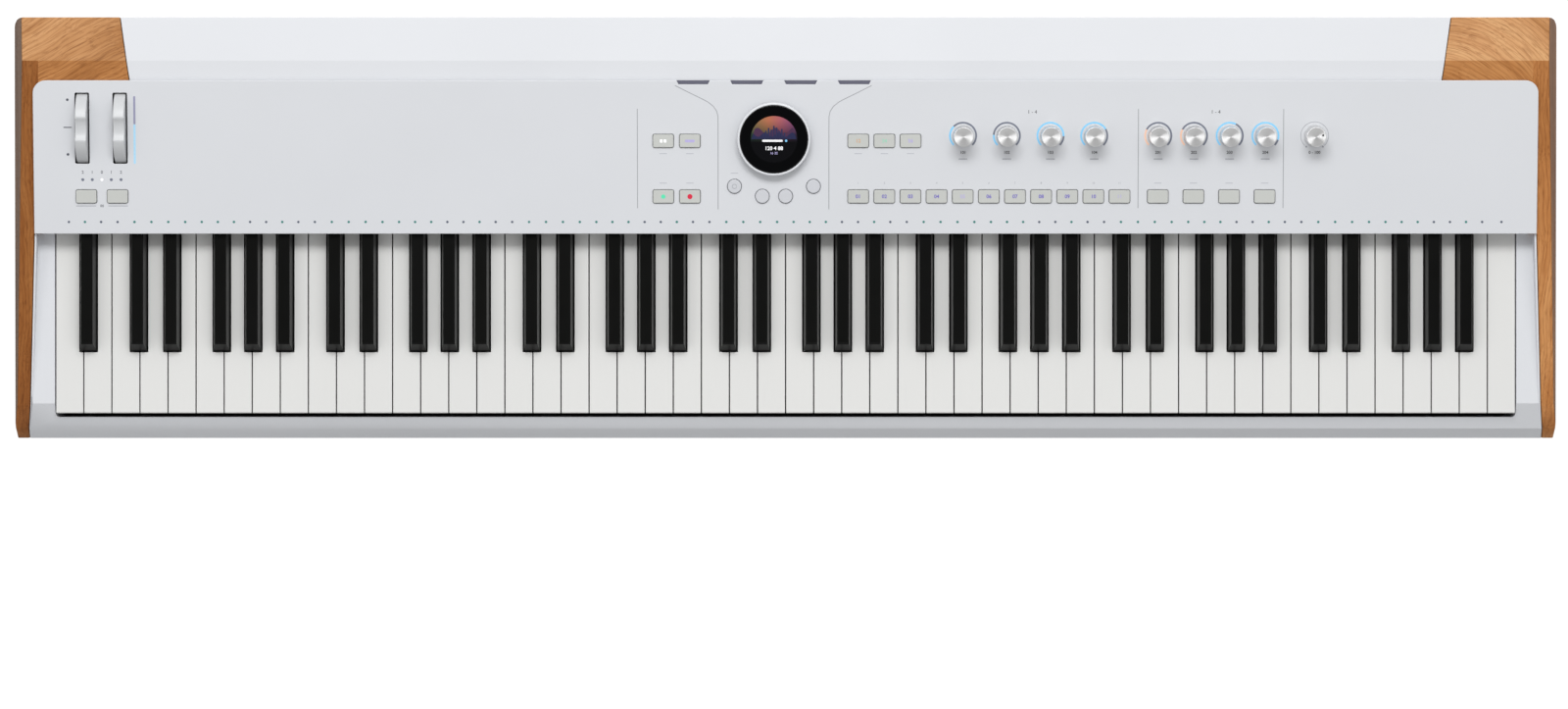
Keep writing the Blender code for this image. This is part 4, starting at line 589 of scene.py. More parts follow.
outlines = [panel_outline()]
outlines += [rounded(*SLOT, (x, WHEEL_V)) for x in WHEELS.values()]
outlines += [rounded(*BUTTON_HOLE, place) for places in BUTTONS.values() for place in places]
outlines += [circle(ROUND_HOLE, place, 48) for place in ROUND_BUTTONS.values()]
outlines += [circle(KNOB_HOLE, (x, KNOB_V), 24) for x in KNOBS.values()]
outlines.append(circle(DISPLAY_HOLE, DISPLAY, 96))
panel_mesh = plate("panel", outlines, -PANEL_THICKNESS, 0.0, PANEL_EDGE, 3)
panel = stand_in("control_panel", panel_mesh, PANEL, HOUSING, "panel", PANEL_WHITE, 50)
# Painted shade: the walls of the holes get the dark plastic below their rolled edges
panel.data.materials.append(DARK_PLASTIC_AND_HOLE_SHADE)
for face in panel.data.polygons:
    x, v, h = face.center
    hole = abs(x) < PANEL_WIDTH / 2 - SIDE_RIM and SIDE_RIM < v < PANEL_DEPTH - REAR_RIM
    if hole and h < -PANEL_EDGE and abs(face.normal.z) < 0.3:
        face.material_index = 1

# Keys

WHITE_KEY_EDGE, BLACK_KEY_EDGE = 0.0003, 0.0009
for number in (1, 2, 3, 5, 6, 7):
    white, black = f"white_keys_octave_{number}", f"black_keys_octave_{number}"
    shell(white, KEY_WHITE, "white_key", WHITE_KEY_EDGE, 3, white)
    shell(black, KEY_BLACK, "black_key", BLACK_KEY_EDGE, 4, black)
for letter in "cdefgab":
    shell(f"key_{letter}4", KEY_WHITE, "white_key", WHITE_KEY_EDGE, 3, f"key_{letter}4")
for letter in "cdfga":
    shell(f"key_{letter}_sharp4", KEY_BLACK, "black_key", BLACK_KEY_EDGE, 4, f"key_{letter}_sharp4")

# Wheels, buttons, display and knobs

WHEEL_RADIUS, WHEEL_HALF, WHEEL_TOP, WHEEL_CORNER = 0.034, 0.0048, 0.0134, 0.0011
WHEEL_AXLE = WHEEL_TOP - WHEEL_RADIUS
HUB_RADIUS, HUB_HALF, BORE_RADIUS = 0.0075, 0.010, 0.0033
SCALLOP_RADIUS, SCALLOP_DEPTH, SCALLOP_LIP = 0.016, 0.0043, 0.0006
SCALLOP_CENTRE = WHEEL_TOP + SCALLOP_RADIUS - SCALLOP_DEPTH


def wheel_rim(angle):
    """Radius of the wheel at an angle from its top: the rim, or the thumb scallop with soft lips."""
    reach = SCALLOP_CENTRE - WHEEL_AXLE
    inside = SCALLOP_RADIUS ** 2 - (reach * math.sin(angle)) ** 2
    if inside <= 0 or abs(angle) > math.pi / 2:
        return WHEEL_RADIUS
    cut = reach * math.cos(angle) - math.sqrt(inside)
    gap = cut - WHEEL_RADIUS
    if gap > SCALLOP_LIP:
        return WHEEL_RADIUS
    if gap < -SCALLOP_LIP:
        return cut
    return min(WHEEL_RADIUS, cut) - (SCALLOP_LIP - abs(gap)) ** 2 / (4 * SCALLOP_LIP)


for name, x in WHEELS.items():
    steps, rows, faces = 240, [], []
    for step in range(steps):
        angle = 2 * math.pi * step / steps
        angle = angle if angle <= math.pi else angle - 2 * math.pi
        corner = (WHEEL_HALF - WHEEL_CORNER, wheel_rim(angle) - WHEEL_CORNER)
        section = [(HUB_HALF, BORE_RADIUS), (HUB_HALF, HUB_RADIUS), (WHEEL_HALF, HUB_RADIUS),
                   *arc_points(corner, WHEEL_CORNER, 0, 90, 4)]
        section += [(-dx, r) for dx, r in reversed(section)]
        rows.append([(x + dx, WHEEL_V + r * math.sin(angle), WHEEL_AXLE + r * math.cos(angle))
                     for dx, r in section])
    width = len(rows[0])
    for i in range(steps):
        j = (i + 1) % steps
        for k in range(width):
            m = (k + 1) % width
            faces.append((i * width + k, i * width + m, j * width + m, j * width + k))
    wheel = mesh_of(name, [point for row in rows for point in row], faces)
    stand_in(name, wheel, PANEL, name, "wheel_white", WHEEL_SATIN)

CAP_TOP, CAP_UNDER, CAP_EDGE = 0.0014, -0.0040, 0.00045
STRIP_TOP, STRIP_UNDER, STRIP_LONGER, STRIP_DEPTH, STRIP_CORNER = -0.0033, -0.0048, 0.0206, 0.0143, 0.0015
STEM_RADIUS, STEM_TOP, STEM_UNDER, STEM_BEVEL = 0.0015, -0.0045, -0.0081, 0.0003
BRIDGE_WIDTH, BRIDGE_CORNER = 0.006, 0.001
for name, places in BUTTONS.items():
    caps = [rounded(*BUTTON_CAP, place) for place in places]
    meshes = [plate("cap", [cap], CAP_UNDER, CAP_TOP, CAP_EDGE, 3) for cap in caps]
    heights = sorted({v for x, v in places})
    for height in heights:
        row = [x for x, v in places if v == height]
        strip = rounded(max(row) - min(row) + STRIP_LONGER, STRIP_DEPTH, STRIP_CORNER,
                        ((max(row) + min(row)) / 2, height))
        meshes.append(plate("strip", [strip], STRIP_UNDER, STRIP_TOP))
    if len(heights) > 1:
        middle = [sum(values) / len(places) for values in zip(*places)]
        bridge = rounded(BRIDGE_WIDTH, heights[-1] - heights[0], BRIDGE_CORNER, middle)
        meshes.append(plate("bridge", [bridge], STRIP_UNDER, STRIP_TOP))
    for x, v in places:
        stem = lathe("stem", [(0, STEM_TOP), (STEM_RADIUS, STEM_TOP), (STEM_RADIUS, STEM_UNDER + STEM_BEVEL),
                              (STEM_RADIUS - STEM_BEVEL, STEM_UNDER), (0, STEM_UNDER)], 16)
        stem.transform(Matrix.Translation((x, v, 0)))
        meshes.append(stem)
    stand_in(name, joined(name, meshes), PANEL, name, "button_cap", CAP_GREY, 50)

for name, place in ROUND_BUTTONS.items():
    profile = [(0, 0.00160), (0.0030, 0.00156), *reversed(arc_points((0.0050, 0.00085), 0.0007, 0, 80, 5)),
               (0.0057, 0.0003), (0.0057, STRIP_TOP), (0.0069, STRIP_TOP), (0.0069, STRIP_UNDER),
               (STEM_RADIUS, STRIP_UNDER), (STEM_RADIUS, STEM_UNDER), (0, STEM_UNDER)]
    stand_in(name, lathe(name, profile, 64), on_panel(*place), name, "round_button", ROUND_CAP)

GLASS_TOP = 0.0070
profile = [(0, GLASS_TOP), (0.0276, GLASS_TOP), (0.0281, 0.0068), (0.0283, 0.0064), (0.0283, 0.0022),
           (0.0294, 0.0022), (0.0294, 0.0010), (0.0264, 0.0010), (0.0264, STRIP_TOP), (0.0286, STRIP_TOP),
           (0.0286, STEM_UNDER), (0, STEM_UNDER)]
display = lathe("display", profile, 128)
stand_in("display_module", display, on_panel(*DISPLAY), "display_module", "display_glass", GLASS)

profile = [(0.0286, 0.0025), (0.0286, 0.0070), *reversed(arc_points((0.0290, 0.0072), 0.0004, 90, 180, 3)),
           *reversed(arc_points((0.0293, 0.0064), 0.0012, 0, 88, 8)),
           (0.0305, 0.0014), (0.0301, 0.0010), (0.0297, 0.0010), (0.0297, 0.0025)]
dial = lathe("dial", profile, 160, closed=True)
stand_in("dial_ring", dial, on_panel(*DISPLAY), "dial_ring", "dial_white", DIAL_WHITE)

profile = [(0, 0.0155), (0.0040, 0.01556), (0.0070, 0.01582), (0.0076, 0.0159),
           *reversed(arc_points((0.0077, 0.0154), 0.0005, 0, 85, 5)), (0.00835, 0.0040), (0.00845, 0.0034),
           (0.0082, 0.0031), (0.0082, 0.0027), (0.0086, 0.0024), (0.0086, 0.0009), (0.0084, 0.0006),
           (0.0030, 0.0006), (0.0030, -0.0030), (0, -0.0030)]
for name, x in KNOBS.items():
    stand_in(name, lathe(name, profile, 96), on_panel(x, KNOB_V), name, "spun_metal", SPUN)

# Printed marks and lights on the panel, some of them at places measured in the photo, in its pixels

PIXEL = 0.0008168
MIDDLE_ACROSS, FRONT_DOWN = 801.1, 238.5
PRINT, PRINT_UNDER, LINE = 0.00004, -0.0003, 0.0006


def spot(across, down):
    """Return the panel's x and v of a place measured in the photo."""
    return ((across - MIDDLE_ACROSS) * PIXEL, (FRONT_DOWN - down) * PIXEL)


def flat_mark(name, outlines, material, body=HOUSING, slot="panel", low=PRINT_UNDER, high=PRINT, place=PANEL):
    """Lay thin outlines on a face as print or as a light window."""
    item = new_piece(name, plate(name, outlines, low, high), place)
    return dress(item, body, slot, material=material)


def band(radius, width, start, end, centre, steps=48):
    """Return the outline of a ring's part, its angles in degrees from start down to end."""
    outer = arc_points(centre, radius, start, end, steps)
    inner = arc_points(centre, radius - width, end, start, steps)
    return outer + inner


def stroke(points, width):
    """Return the outline of a line of even width along points."""
    left, right = [], []
    for i, (x, y) in enumerate(points):
        ax, ay = points[max(i - 1, 0)]
        bx, by = points[min(i + 1, len(points) - 1)]
        length = math.hypot(bx - ax, by - ay)
        nx, ny = -(by - ay) / length * width / 2, (bx - ax) / length * width / 2
        left.append((x + nx, y + ny))
        right.append((x - nx, y - ny))
    return left + right[::-1]


def numbers_mesh(name, numbers, height, weight):
    """Return the mesh of plain numbers, each given with its centre."""
    meshes = []
    for text, (x, y) in numbers:
        curve = bpy.data.curves.new(name, "FONT")
        curve.body = text
        curve.size = height * 1.42
        curve.extrude = PRINT / 2
        curve.offset = weight
        curve.align_x, curve.align_y = "CENTER", "CENTER"
        curve.resolution_u = 3
        mesh = curve_mesh(name, curve)
        mesh.transform(Matrix.Translation((x, y, 0)))
        meshes.append(mesh)
    return joined(name, meshes)


def print_numbers(name, numbers, height, material, h=PRINT / 2, body=HOUSING, slot="panel", weight=0.0,
                  place=PANEL):
    """Print plain numbers on a face, h above it."""
    mesh = numbers_mesh(name, numbers, height, weight)
    item = new_piece(name, mesh, place @ Matrix.Translation((0, 0, h)))
    return dress(item, body, slot, material=material)


# One light per key: five over C to E and seven over F to B, evenly spaced, some of them dim
KEY_PITCH, GUIDE_V = 0.0235, 0.0099
guide_x = []
for octave in range(-1, 7):
    zone = (7 * octave + 2 - 26) * KEY_PITCH
    guide_x += [zone + (i + 0.5) * 3 * KEY_PITCH / 5 for i in range(5)]
    guide_x += [zone + 3 * KEY_PITCH + (i + 0.5) * 4 * KEY_PITCH / 7 for i in range(7)]
# From the lowest A on, and one more for the highest C
guide_x = guide_x[9:] + [25.4 * KEY_PITCH]
DIM_STEPS = (0, 3, 7, 10)
guides = [(i * 5 % 12 in DIM_STEPS, (x, GUIDE_V)) for i, x in enumerate(guide_x)]
flat_mark("key_guide_lights", [circle(0.00104, place, 16) for dim, place in guides if not dim], LAMP_TEAL)
flat_mark("key_guide_lights_dim", [circle(0.00102, place, 16) for dim, place in guides if dim], LAMP_DUSK)

MODULATION_ACROSS, HIGH_BAR_DOWN, LOW_BAR_DOWN = 137.5, 112.2, 146.8
BAR_WIDTH, BAR_CORNER, HIGH_BAR, LOW_BAR = 0.0017, 0.0008, 0.0236, 0.0330
low_bar = rounded(BAR_WIDTH, LOW_BAR, BAR_CORNER, spot(MODULATION_ACROSS, LOW_BAR_DOWN))
high_bar = rounded(BAR_WIDTH, HIGH_BAR, BAR_CORNER, spot(MODULATION_ACROSS, HIGH_BAR_DOWN))
flat_mark("modulation_bar_low", [low_bar], LAMP_SKY)
flat_mark("modulation_bar_high", [high_bar], LAMP_HAZE)

PITCH_DOTS, PITCH_DASH = ((69.3, 101.5), (69.4, 157.3)), (69.2, 129.7)
pitch_marks = [circle(0.00112, spot(*place), 20) for place in PITCH_DOTS]
pitch_marks.append(rounded(0.0068, 0.0009, 0.0003, spot(*PITCH_DASH)))
flat_mark("pitch_marks", pitch_marks, INK_SLATE)

OCTAVE_ACROSS = (84.2, 93.9, 103.7, 113.3, 123.2)
LIGHTS_DOWN, NUMBERS_DOWN, LINES_DOWN = 183.1, 175.6, 210.0
LINE_LEFT, LINE_RIGHT, GROUP_ACROSS = (0.0168, 87.3), (0.0164, 120.0), 103.6
lights = [circle(0.00125, spot(x, LIGHTS_DOWN), 24) for x in OCTAVE_ACROSS]
flat_mark("octave_lights", lights[:2] + lights[3:], LAMP_OFF)
flat_mark("octave_light_middle", [lights[2]], LAMP_WHITE)
numbers = [(text, spot(x, NUMBERS_DOWN)) for text, x in zip("21012", OCTAVE_ACROSS)]
print_numbers("octave_numbers", numbers, 0.0025, INK_DARK, weight=0.00005)
lines = [rounded(width, 0.0005, 0.0002, spot(x, LINES_DOWN)) for width, x in (LINE_LEFT, LINE_RIGHT)]
flat_mark("octave_lines", lines, INK_GREY)
print_numbers("octave_group_number", [("88", spot(GROUP_ACROSS, LINES_DOWN))], 0.0022, INK_DARK)

# Lines between the groups of controls: three straight ones, and one on each side of the display
SEPARATORS_ACROSS, SEPARATORS_DOWN, SEPARATOR_LENGTH = (650.0, 1160.7, 1308.7), 161.5, 0.0830
LEFT_LINE = ((688.5, 87.0), (702.0, 93.8), (716.0, 100.6), (722.0, 103.8), (727.5, 108.2), (731.0, 113.4),
             (732.2, 118.5), (732.3, 130.0), (732.3, 213.5))
RIGHT_LINE = ((888.8, 87.0), (875.3, 93.8), (861.4, 100.6), (855.4, 103.8), (849.9, 108.2), (846.5, 113.4),
              (845.4, 118.5), (845.3, 130.0), (845.3, 213.5))
lines = [rounded(LINE, SEPARATOR_LENGTH, 0.0003, spot(x, SEPARATORS_DOWN)) for x in SEPARATORS_ACROSS]
lines += [stroke([spot(*place) for place in line], LINE) for line in (LEFT_LINE, RIGHT_LINE)]
flat_mark("separator_lines", lines, INK_LINE)

# Numbers and bars in place of labels
ABOVE_BUTTON, BELOW_BUTTON, ABOVE_ROUND, BELOW_KNOB, UNDERLINE = 0.0112, 0.0106, 0.0110, 0.0140, 0.0194
SECTIONS_ACROSS, SECTIONS_DOWN = (1052.5, 1239.5), 114.0
knob_x = list(KNOBS.values())
texts = [str(101 + i) for i in range(4)] + [str(201 + i) for i in range(4)] + ["0 - 100"]
numbers = [(text, (x, KNOB_V - BELOW_KNOB)) for text, x in zip(texts, knob_x)]
print_numbers("knob_numbers", numbers, 0.0024, INK_BLACK, weight=0.00006)
underlines = [rounded(0.0074, 0.0007, 0.0003, (x, KNOB_V - UNDERLINE)) for x in knob_x[:8]]
flat_mark("knob_underlines", underlines, INK_GREY)
numbers = [("1 - 4", spot(x, SECTIONS_DOWN)) for x in SECTIONS_ACROSS]
print_numbers("section_numbers", numbers, 0.0030, INK_BLACK)
numbers = [(str(i + 1), (x, ROW_LOW + ABOVE_BUTTON)) for i, x in enumerate(SOUND)]
print_numbers("sound_button_numbers", numbers, 0.0016, INK_GREY)
faint = [(x, ROW_LOW + ABOVE_BUTTON) for x in MODE + EFFECT]
faint += [(x, ROW_HIGH - BELOW_BUTTON) for x in MODE + SOUND[:3]]
first_x, first_v = ROUND_BUTTONS["round_button_1"]
faint.append((first_x, first_v + ABOVE_ROUND))
flat_mark("faint_marks", [rounded(0.0062, 0.0007, 0.0003, place) for place in faint], INK_FAINT)
# Painted shade: dark sheets on the floors of the four notches in the panel's rear edge
shaded_floors = []
for x in NOTCHES:
    rear, front = PANEL_DEPTH - 0.0001, PANEL_DEPTH - 0.0032
    shaded_floors.append([(x + 0.0138, rear), (x - 0.0138, rear), (x - 0.0122, front), (x + 0.0122, front)])
flat_mark("notch_floors", shaded_floors, NOTCH_PAINTED_SHADE, slot="white_shell", low=-0.0028, high=-0.0025)

# Rings of light round the knobs, each lit by a share of its turn
LIT_SHARE = {"sound_knob_1": 0.33, "sound_knob_2": 0.18, "sound_knob_3": 0.84, "sound_knob_4": 0.72,
             "effect_knob_1": 0.27, "effect_knob_2": 0.27, "effect_knob_3": 0.60, "effect_knob_4": 0.90}
RING_OUTER, RING_WIDTH, RING_START, RING_END, RING_GAP = 0.01165, 0.0015, 225.0, -45.0, 0.4
for name, share in LIT_SHARE.items():
    centre, split = (KNOBS[name], KNOB_V), RING_START - (RING_START - RING_END) * share
    lit = LAMP_PEACH if name in ("effect_knob_1", "effect_knob_2") else LAMP_BLUE
    flat_mark(f"{name}_lit_ring", [band(RING_OUTER, RING_WIDTH, RING_START, split, centre)], lit)
    flat_mark(f"{name}_ring", [band(RING_OUTER, RING_WIDTH, split - RING_GAP, RING_END, centre)], LAMP_OFF)

VOLUME_RING, VOLUME_LINE, END_ACROSS, END_BELOW = 0.0118, 0.00045, 0.006944, 0.00912
POINTER_REACH, POINTER_TURN = 0.0058, math.radians(15)
volume_x = KNOBS["volume_knob"]
ring = band(VOLUME_RING, VOLUME_LINE, RING_START, RING_END, (volume_x, KNOB_V))
flat_mark("volume_ring", [ring], INK_MID)
ends = [circle(0.0008, (volume_x + dx, KNOB_V - END_BELOW), 16) for dx in (-END_ACROSS, END_ACROSS)]
flat_mark("volume_ends", ends, INK_MID)
tip = (POINTER_REACH * math.cos(POINTER_TURN), POINTER_REACH * math.sin(POINTER_TURN))
flat_mark("volume_pointer", [circle(0.00085, tip, 24)], INK_BLACK, "volume_knob", "spun_metal", 0.01575,
          0.01592, on_panel(volume_x, KNOB_V))

# Lights under the button caps

CAP_NUMBER = 0.0030


def cap_mark(name, outlines, material):
    """Lay a lit shape on a cap of the mode buttons."""
    low, high = CAP_TOP + PRINT_UNDER, CAP_TOP + PRINT
    return flat_mark(name, outlines, material, "mode_buttons", "button_cap", low, high)


def cap_numbers(name, group, numbers, material, weight=0.00008):
    """Print lit numbers on the caps of one button group."""
    height = CAP_TOP + PRINT / 2
    return print_numbers(name, numbers, CAP_NUMBER, material, height, group, "button_cap", weight)


green, red, white, lavender = BUTTONS["mode_buttons"]
cap_mark("mode_green_light", [circle(0.0018, green, 32)], LAMP_GREEN)
cap_mark("mode_red_light", [circle(0.0021, red, 32)], LAMP_RED)
pair = [rounded(0.0022, 0.0026, 0.0004, (white[0] + dx, white[1])) for dx in (-0.0016, 0.0016)]
cap_mark("mode_white_light", pair, LAMP_WHITE)
cap_mark("mode_lavender_light", [rounded(0.0080, 0.0022, 0.0008, lavender)], LAMP_LAVENDER)
part_lights = zip("abc", ("12", "34", "56"), BUTTONS["part_buttons"], (LAMP_TAN, LAMP_MINT, LAMP_LAVENDER))
for name, text, place, material in part_lights:
    cap_numbers(f"part_light_{name}", "part_buttons", [(text, place)], material)
DIM_BUTTONS = (4, 10)
numbers = [(f"{i + 1:02d}", place) for i, place in enumerate(BUTTONS["sound_buttons"])]
bright = [number for i, number in enumerate(numbers) if i not in DIM_BUTTONS]
cap_numbers("sound_lights", "sound_buttons", bright, LAMP_VIOLET)
cap_numbers("sound_lights_dim", "sound_buttons", [numbers[i] for i in DIM_BUTTONS], LAMP_LAVENDER, 0.00004)
flat_mark("round_button_mark", [band(0.0020, 0.0004, 350, 10, (0, 0), 40)], INK_GREY, "round_button_1",
          "round_button", 0.00150, 0.00158, on_panel(first_x, first_v))

# The screen behind the display's glass: a made-up picture of hills under a level meter

SCREEN_RADIUS = 0.0194


def screen_part(name, outlines, material, lift):
    """Lay one shape of the screen's picture, all of them thin as print."""
    return flat_mark(name, outlines, material, "display_module", "display_glass", GLASS_TOP - 0.0002,
                     GLASS_TOP + lift, on_panel(*DISPLAY))


def screen_numbers(name, text, down, height, material, weight):
    """Show plain numbers on the screen, below its middle."""
    return print_numbers(name, [(text, (0, -down))], height, material, GLASS_TOP + 0.00004, "display_module",
                         "display_glass", weight, on_panel(*DISPLAY))


def screen_sky():
    """Colours of the picture: warm above, green to the left, purple to the right, black below."""
    n = Nodes("screen_sky")
    part = n.add("ShaderNodeSeparateXYZ", Vector=n.place())
    side = n.add("ShaderNodeMapRange", Value=part.outputs[0], From_Min=-SCREEN_RADIUS, From_Max=SCREEN_RADIUS)
    rise = n.add("ShaderNodeMapRange", Value=part.outputs[1], From_Min=-0.003, From_Max=SCREEN_RADIUS)
    low_side = n.ramp(side, (0.0, (0.035, 0.085, 0.065)), (0.35, (0.10, 0.12, 0.05)),
                      (0.62, (0.16, 0.05, 0.09)), (1.0, (0.05, 0.035, 0.075)))
    high_side = n.ramp(side, (0.0, (0.32, 0.27, 0.10)), (0.38, (0.80, 0.27, 0.14)),
                       (0.62, (0.72, 0.20, 0.22)), (1.0, (0.28, 0.09, 0.30)))
    blend = n.ramp(rise, (0.30, (0, 0, 0)), (0.85, (1, 1, 1)))
    colour = n.add("ShaderNodeMix", data_type="RGBA", in0=blend, in6=low_side, in7=high_side).outputs[2]
    fade = n.ramp(rise, (0.02, (0, 0, 0)), (0.42, (1, 1, 1)))
    return n.look(Base_Color=(0.004, 0.004, 0.005, 1.0), Roughness=0.12,
                  Emission_Color=n.multiply(1.0, colour, fade), Emission_Strength=0.60)


def hill(last, foot_x, foot_y, height, swell, rate, start):
    """Return the outline of a wavy hill, its ridge from -last to last, in millimetres."""
    ridge = [(x / 1000, (height + swell * math.sin(x * rate + start)) / 1000) for x in range(-last, last + 1)]
    return [(-foot_x / 1000, foot_y / 1000), *ridge, (foot_x / 1000, foot_y / 1000)]


screen_part("screen", [circle(SCREEN_RADIUS, (0, 0), 96)], screen_sky(), 0.00002)
PLUM = lamp("screen_plum", (0.050, 0.018, 0.050, 1), 0.30)
NAVY = lamp("screen_navy", (0.010, 0.012, 0.045, 1), 0.5)
INDIGO = lamp("screen_indigo", (0.014, 0.015, 0.050, 1), 0.6)
screen_part("screen_hill_back", [hill(16, 18.2, 0.8, 7.0, 2.6, 0.42, 1.0)], PLUM, 0.00004)
screen_part("screen_hill_front", [hill(17, 18.8, 0.2, 3.9, 1.8, 0.55, -0.6)], NAVY, 0.00006)
LEVELS, LEVEL_PITCH = (3.0, 5.2, 7.6, 6.2, 9.4, 8.0, 5.0, 6.8, 3.6), 0.0022
bars = [rounded(0.0013, level / 1000, 0.0006, ((i - 4) * LEVEL_PITCH, 0.0020 + level / 2000))
        for i, level in enumerate(LEVELS)]
screen_part("screen_levels", bars, INDIGO, 0.00008)
screen_part("screen_bar", [rounded(0.0170, 0.0017, 0.0007, (-0.0012, -0.0012))], LAMP_WHITE, 0.00008)
screen_part("screen_bar_end", [circle(0.0010, (0.0102, -0.0012), 24)], LAMP_BLUE, 0.00008)
screen_numbers("screen_number", "120 4 88", 0.0076, 0.0030, LAMP_WHITE, 0.00010)
screen_numbers("screen_number_small", "16 32", 0.0116, 0.0020, LAMP_LAVENDER, 0.00003)

# The rear sockets, on the plate's outer face: across, up, and out towards the rear

REAR_Y, SOCKET_Z = 0.1732, 0.047
REAR = Matrix(((-1, 0, 0, 0), (0, 0, 1, REAR_Y), (0, 1, 0, SOCKET_Z), (0, 0, 0, 1)))
MOUTH = 0.0023
JACKS, DINS, USB_X, DC_X = (-0.020, 0.002, 0.024, 0.046), (-0.086, -0.058), 0.072, 0.092
# Outer and inner radius and depth of each kind of barrel
JACK, DIN, DC = (0.0058, 0.0033, 0.034), (0.0098, 0.0076, 0.010), (0.0055, 0.0032, 0.010)
USB_OUTSIDE, USB_MOUTH = (0.0142, 0.0084, 0.0010), (0.0092, 0.0034, 0.0006)
PIN_CIRCLE, PIN_END = 0.0048, -0.0076


def turned(name, profile, x, closed=True):
    """Return a turned piece round one socket's axis."""
    mesh = lathe(name, profile, 48, closed)
    mesh.transform(Matrix.Translation((-x, 0, 0)))
    return mesh


def blind_barrel(x, outer, inner, depth):
    """Return a socket's barrel: a tube with a soft mouth and a closed end."""
    end = MOUTH - depth
    return turned("barrel", [(0, end), (inner, end), (inner, MOUTH - 0.0005), (inner + 0.0005, MOUTH),
                             (outer - 0.0005, MOUTH), (outer, MOUTH - 0.0005), (outer, end - 0.0025),
                             (0, end - 0.0025)], x, False)


barrels = [(x, *JACK) for x in JACKS] + [(x, *DIN) for x in DINS] + [(DC_X, *DC)]
usb_place = (-USB_X, 0)
holes = [circle(outer - 0.0004, (-x, 0), 48) for x, outer, *rest in barrels]
holes.append(rounded(0.0140, 0.0082, 0.0008, usb_place))
meshes = [plate("jack_plate", [rounded(0.2216, 0.0360, 0.0010, (-0.0030, 0)), *holes], -0.0020, 0.0)]
meshes += [blind_barrel(*barrel) for barrel in barrels]
usb_shell = [rounded(*USB_OUTSIDE, usb_place), rounded(*USB_MOUTH, usb_place)]
meshes.append(plate("usb_shell", usb_shell, -0.0057, MOUTH, 0.0003))
meshes.append(plate("usb_floor", [rounded(*USB_OUTSIDE, usb_place)], -0.0082, -0.0057))
stand_in("jack_plate", joined("jack_plate", meshes), REAR, HOUSING, "dark_plastic", SOCKET_GREY)

metal = []
lip, mouth, inner_end = MOUTH - 0.0001, MOUTH - 0.0006, MOUTH - 0.0090
for x in JACKS:
    metal.append(turned("sleeve", [(0.0033, inner_end), (0.0032, mouth), (0.0037, lip), (0.0046, lip),
                                   (0.0046, mouth), (0.0034, inner_end)], x))
for x in DINS:
    metal.append(turned("shield", [(0.0070, PIN_END), (0.0070, 0.0010), (0.0073, 0.0012), (0.0074, 0.0010),
                                   (0.0074, PIN_END)], x))
    for turn in (0, 45, 90, 135, 180):
        pin = lathe("pin", [(0, -0.0072), (0.0005, -0.0072), (0.0005, -0.0066), (0.0009, -0.0062),
                            (0.0010, PIN_END), (0, PIN_END)], 16)
        angle = math.radians(turn)
        across, down = PIN_CIRCLE * math.cos(angle), PIN_CIRCLE * math.sin(angle)
        pin.transform(Matrix.Translation((across - x, -down, 0)))
        metal.append(pin)
metal.append(turned("dc_pin", [(0, 0.0006), (0.0007, 0.0004), (0.0010, -0.0002), (0.0010, PIN_END),
                               (0, PIN_END)], DC_X, False))
usb_frame = [rounded(*USB_MOUTH, usb_place), rounded(0.0085, 0.0027, 0.0004, usb_place)]
metal.append(plate("usb_frame", usb_frame, -0.0056, MOUTH - 0.0002))
contacts = new_piece("socket_contacts", joined("socket_contacts", metal), REAR)
dress(smooth(contacts, 40), HOUSING, "zinc_steel", material=ZINC_AND_GAP_SHADE)
outline = rounded(0.0070, 0.0009, 0.0002, (-USB_X, 0.0006))
tongue = plate("usb_tongue", [outline], -0.0056, MOUTH - 0.0010)
dress(new_piece("usb_tongue", tongue, REAR), HOUSING, "dark_plastic", material=INK_BLACK)

# Stage, light and camera

FLOOR_HALF, FLOOR_DROP = 30, 0.0002
corners = [(-FLOOR_HALF, -FLOOR_HALF, 0), (FLOOR_HALF, -FLOOR_HALF, 0), (FLOOR_HALF, FLOOR_HALF, 0),
           (-FLOOR_HALF, FLOOR_HALF, 0)]
below = Matrix.Translation((0, 0, -FLOOR_DROP))
floor = new_piece("floor", mesh_of("floor", corners, [(0, 1, 2, 3)]), below)
ground = Nodes("floor_white")
ground.look(Base_Color=(0.50, 0.50, 0.50, 1.0), Roughness=0.9)
glow = ground.add("ShaderNodeEmission", Color=(1.0, 1.0, 1.0, 1.0), Strength=1.22)
camera_ray = ground.add("ShaderNodeLightPath").outputs["Is Camera Ray"]
share = ground.add("ShaderNodeMath", operation="MULTIPLY", in0=camera_ray, in1=0.80)
mix = ground.add("ShaderNodeMixShader", in0=share, in1=ground.shader, in2=glow)
ground.put(ground.output, "Surface", mix)
floor.data.materials.append(ground.material)
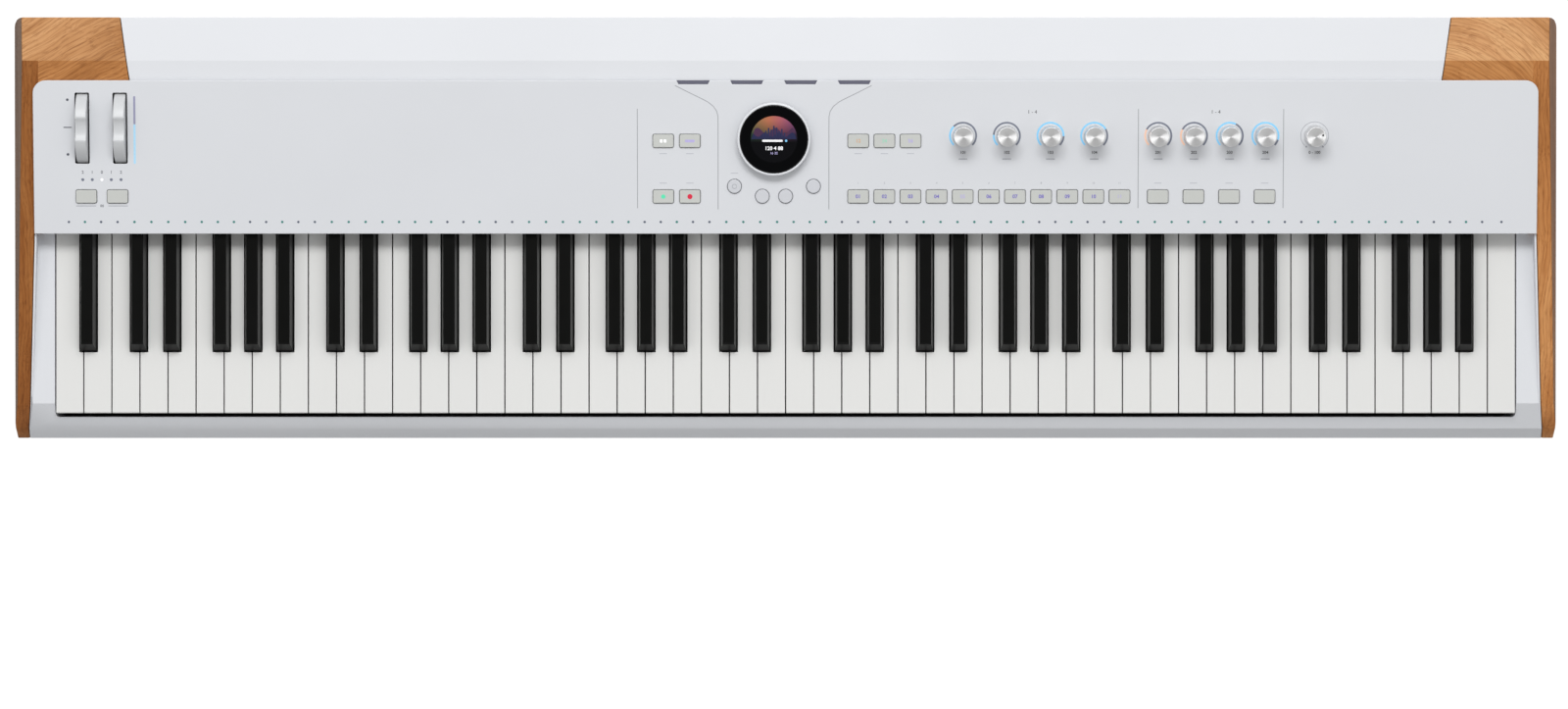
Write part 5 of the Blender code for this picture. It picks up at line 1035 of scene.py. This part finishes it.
floor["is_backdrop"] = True

# A room that is bright around the sides and behind, and dark straight above
world = bpy.data.worlds.new("studio")
bpy.context.scene.world = world
room = Tree(world)
direction = room.add("ShaderNodeTexCoord").outputs["Generated"]
apart = room.add("ShaderNodeSeparateXYZ", Vector=direction)
GREYS_BY_HEIGHT = ((0.0, 0.24), (0.35, 0.56), (0.62, 1.05), (0.84, 1.10), (0.93, 0.10), (1.0, 0.04))
height = room.ramp(apart.outputs[2], *[(place, (grey, grey, grey)) for place, grey in GREYS_BY_HEIGHT])
rear = room.add("ShaderNodeMapRange", Value=apart.outputs[1], From_Min=-1.0, From_Max=1.0, To_Min=0.84,
                To_Max=1.20)
level = room.add("ShaderNodeMath", operation="MULTIPLY", in0=height, in1=rear)
sky = room.tree.nodes["Background"]
room.put(sky, "Color", (1.0, 1.0, 1.0, 1.0))
room.put(sky, "Strength", level)
seen = room.add("ShaderNodeBackground", Color=(1.0, 1.0, 1.0, 1.0), Strength=1.0)
camera_ray = room.add("ShaderNodeLightPath").outputs["Is Camera Ray"]
mix = room.add("ShaderNodeMixShader", in0=camera_ray, in1=sky, in2=seen)
room.put(room.tree.nodes["World Output"], "Surface", mix)

softbox = bpy.data.lights.new("rear_softbox", "AREA")
softbox.shape = "RECTANGLE"
softbox.size, softbox.size_y = 2.6, 1.1
softbox.energy = 87.0
light = bpy.data.objects.new("rear_softbox", softbox)
light.location = (0.0, 2.3, 3.1)
light.rotation_euler = (-light.location).to_track_quat("-Z", "Y").to_euler()
bpy.context.scene.collection.objects.link(light)

camera_data = bpy.data.cameras.new("camera")
camera = bpy.data.objects.new("camera", camera_data)
camera.location = (0.0, 0.0019, 4.575)
camera.rotation_euler = (0.0, 0.0, 0.0)
camera_data.lens = 123.42
camera_data.sensor_width = 36.0
camera_data.shift_x = -0.0010
camera_data.shift_y = -0.0816
camera_data.clip_end = 200.0
bpy.context.scene.collection.objects.link(camera)
bpy.context.scene.camera = camera
bpy.context.scene.view_settings.view_transform = "Standard"

low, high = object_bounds()
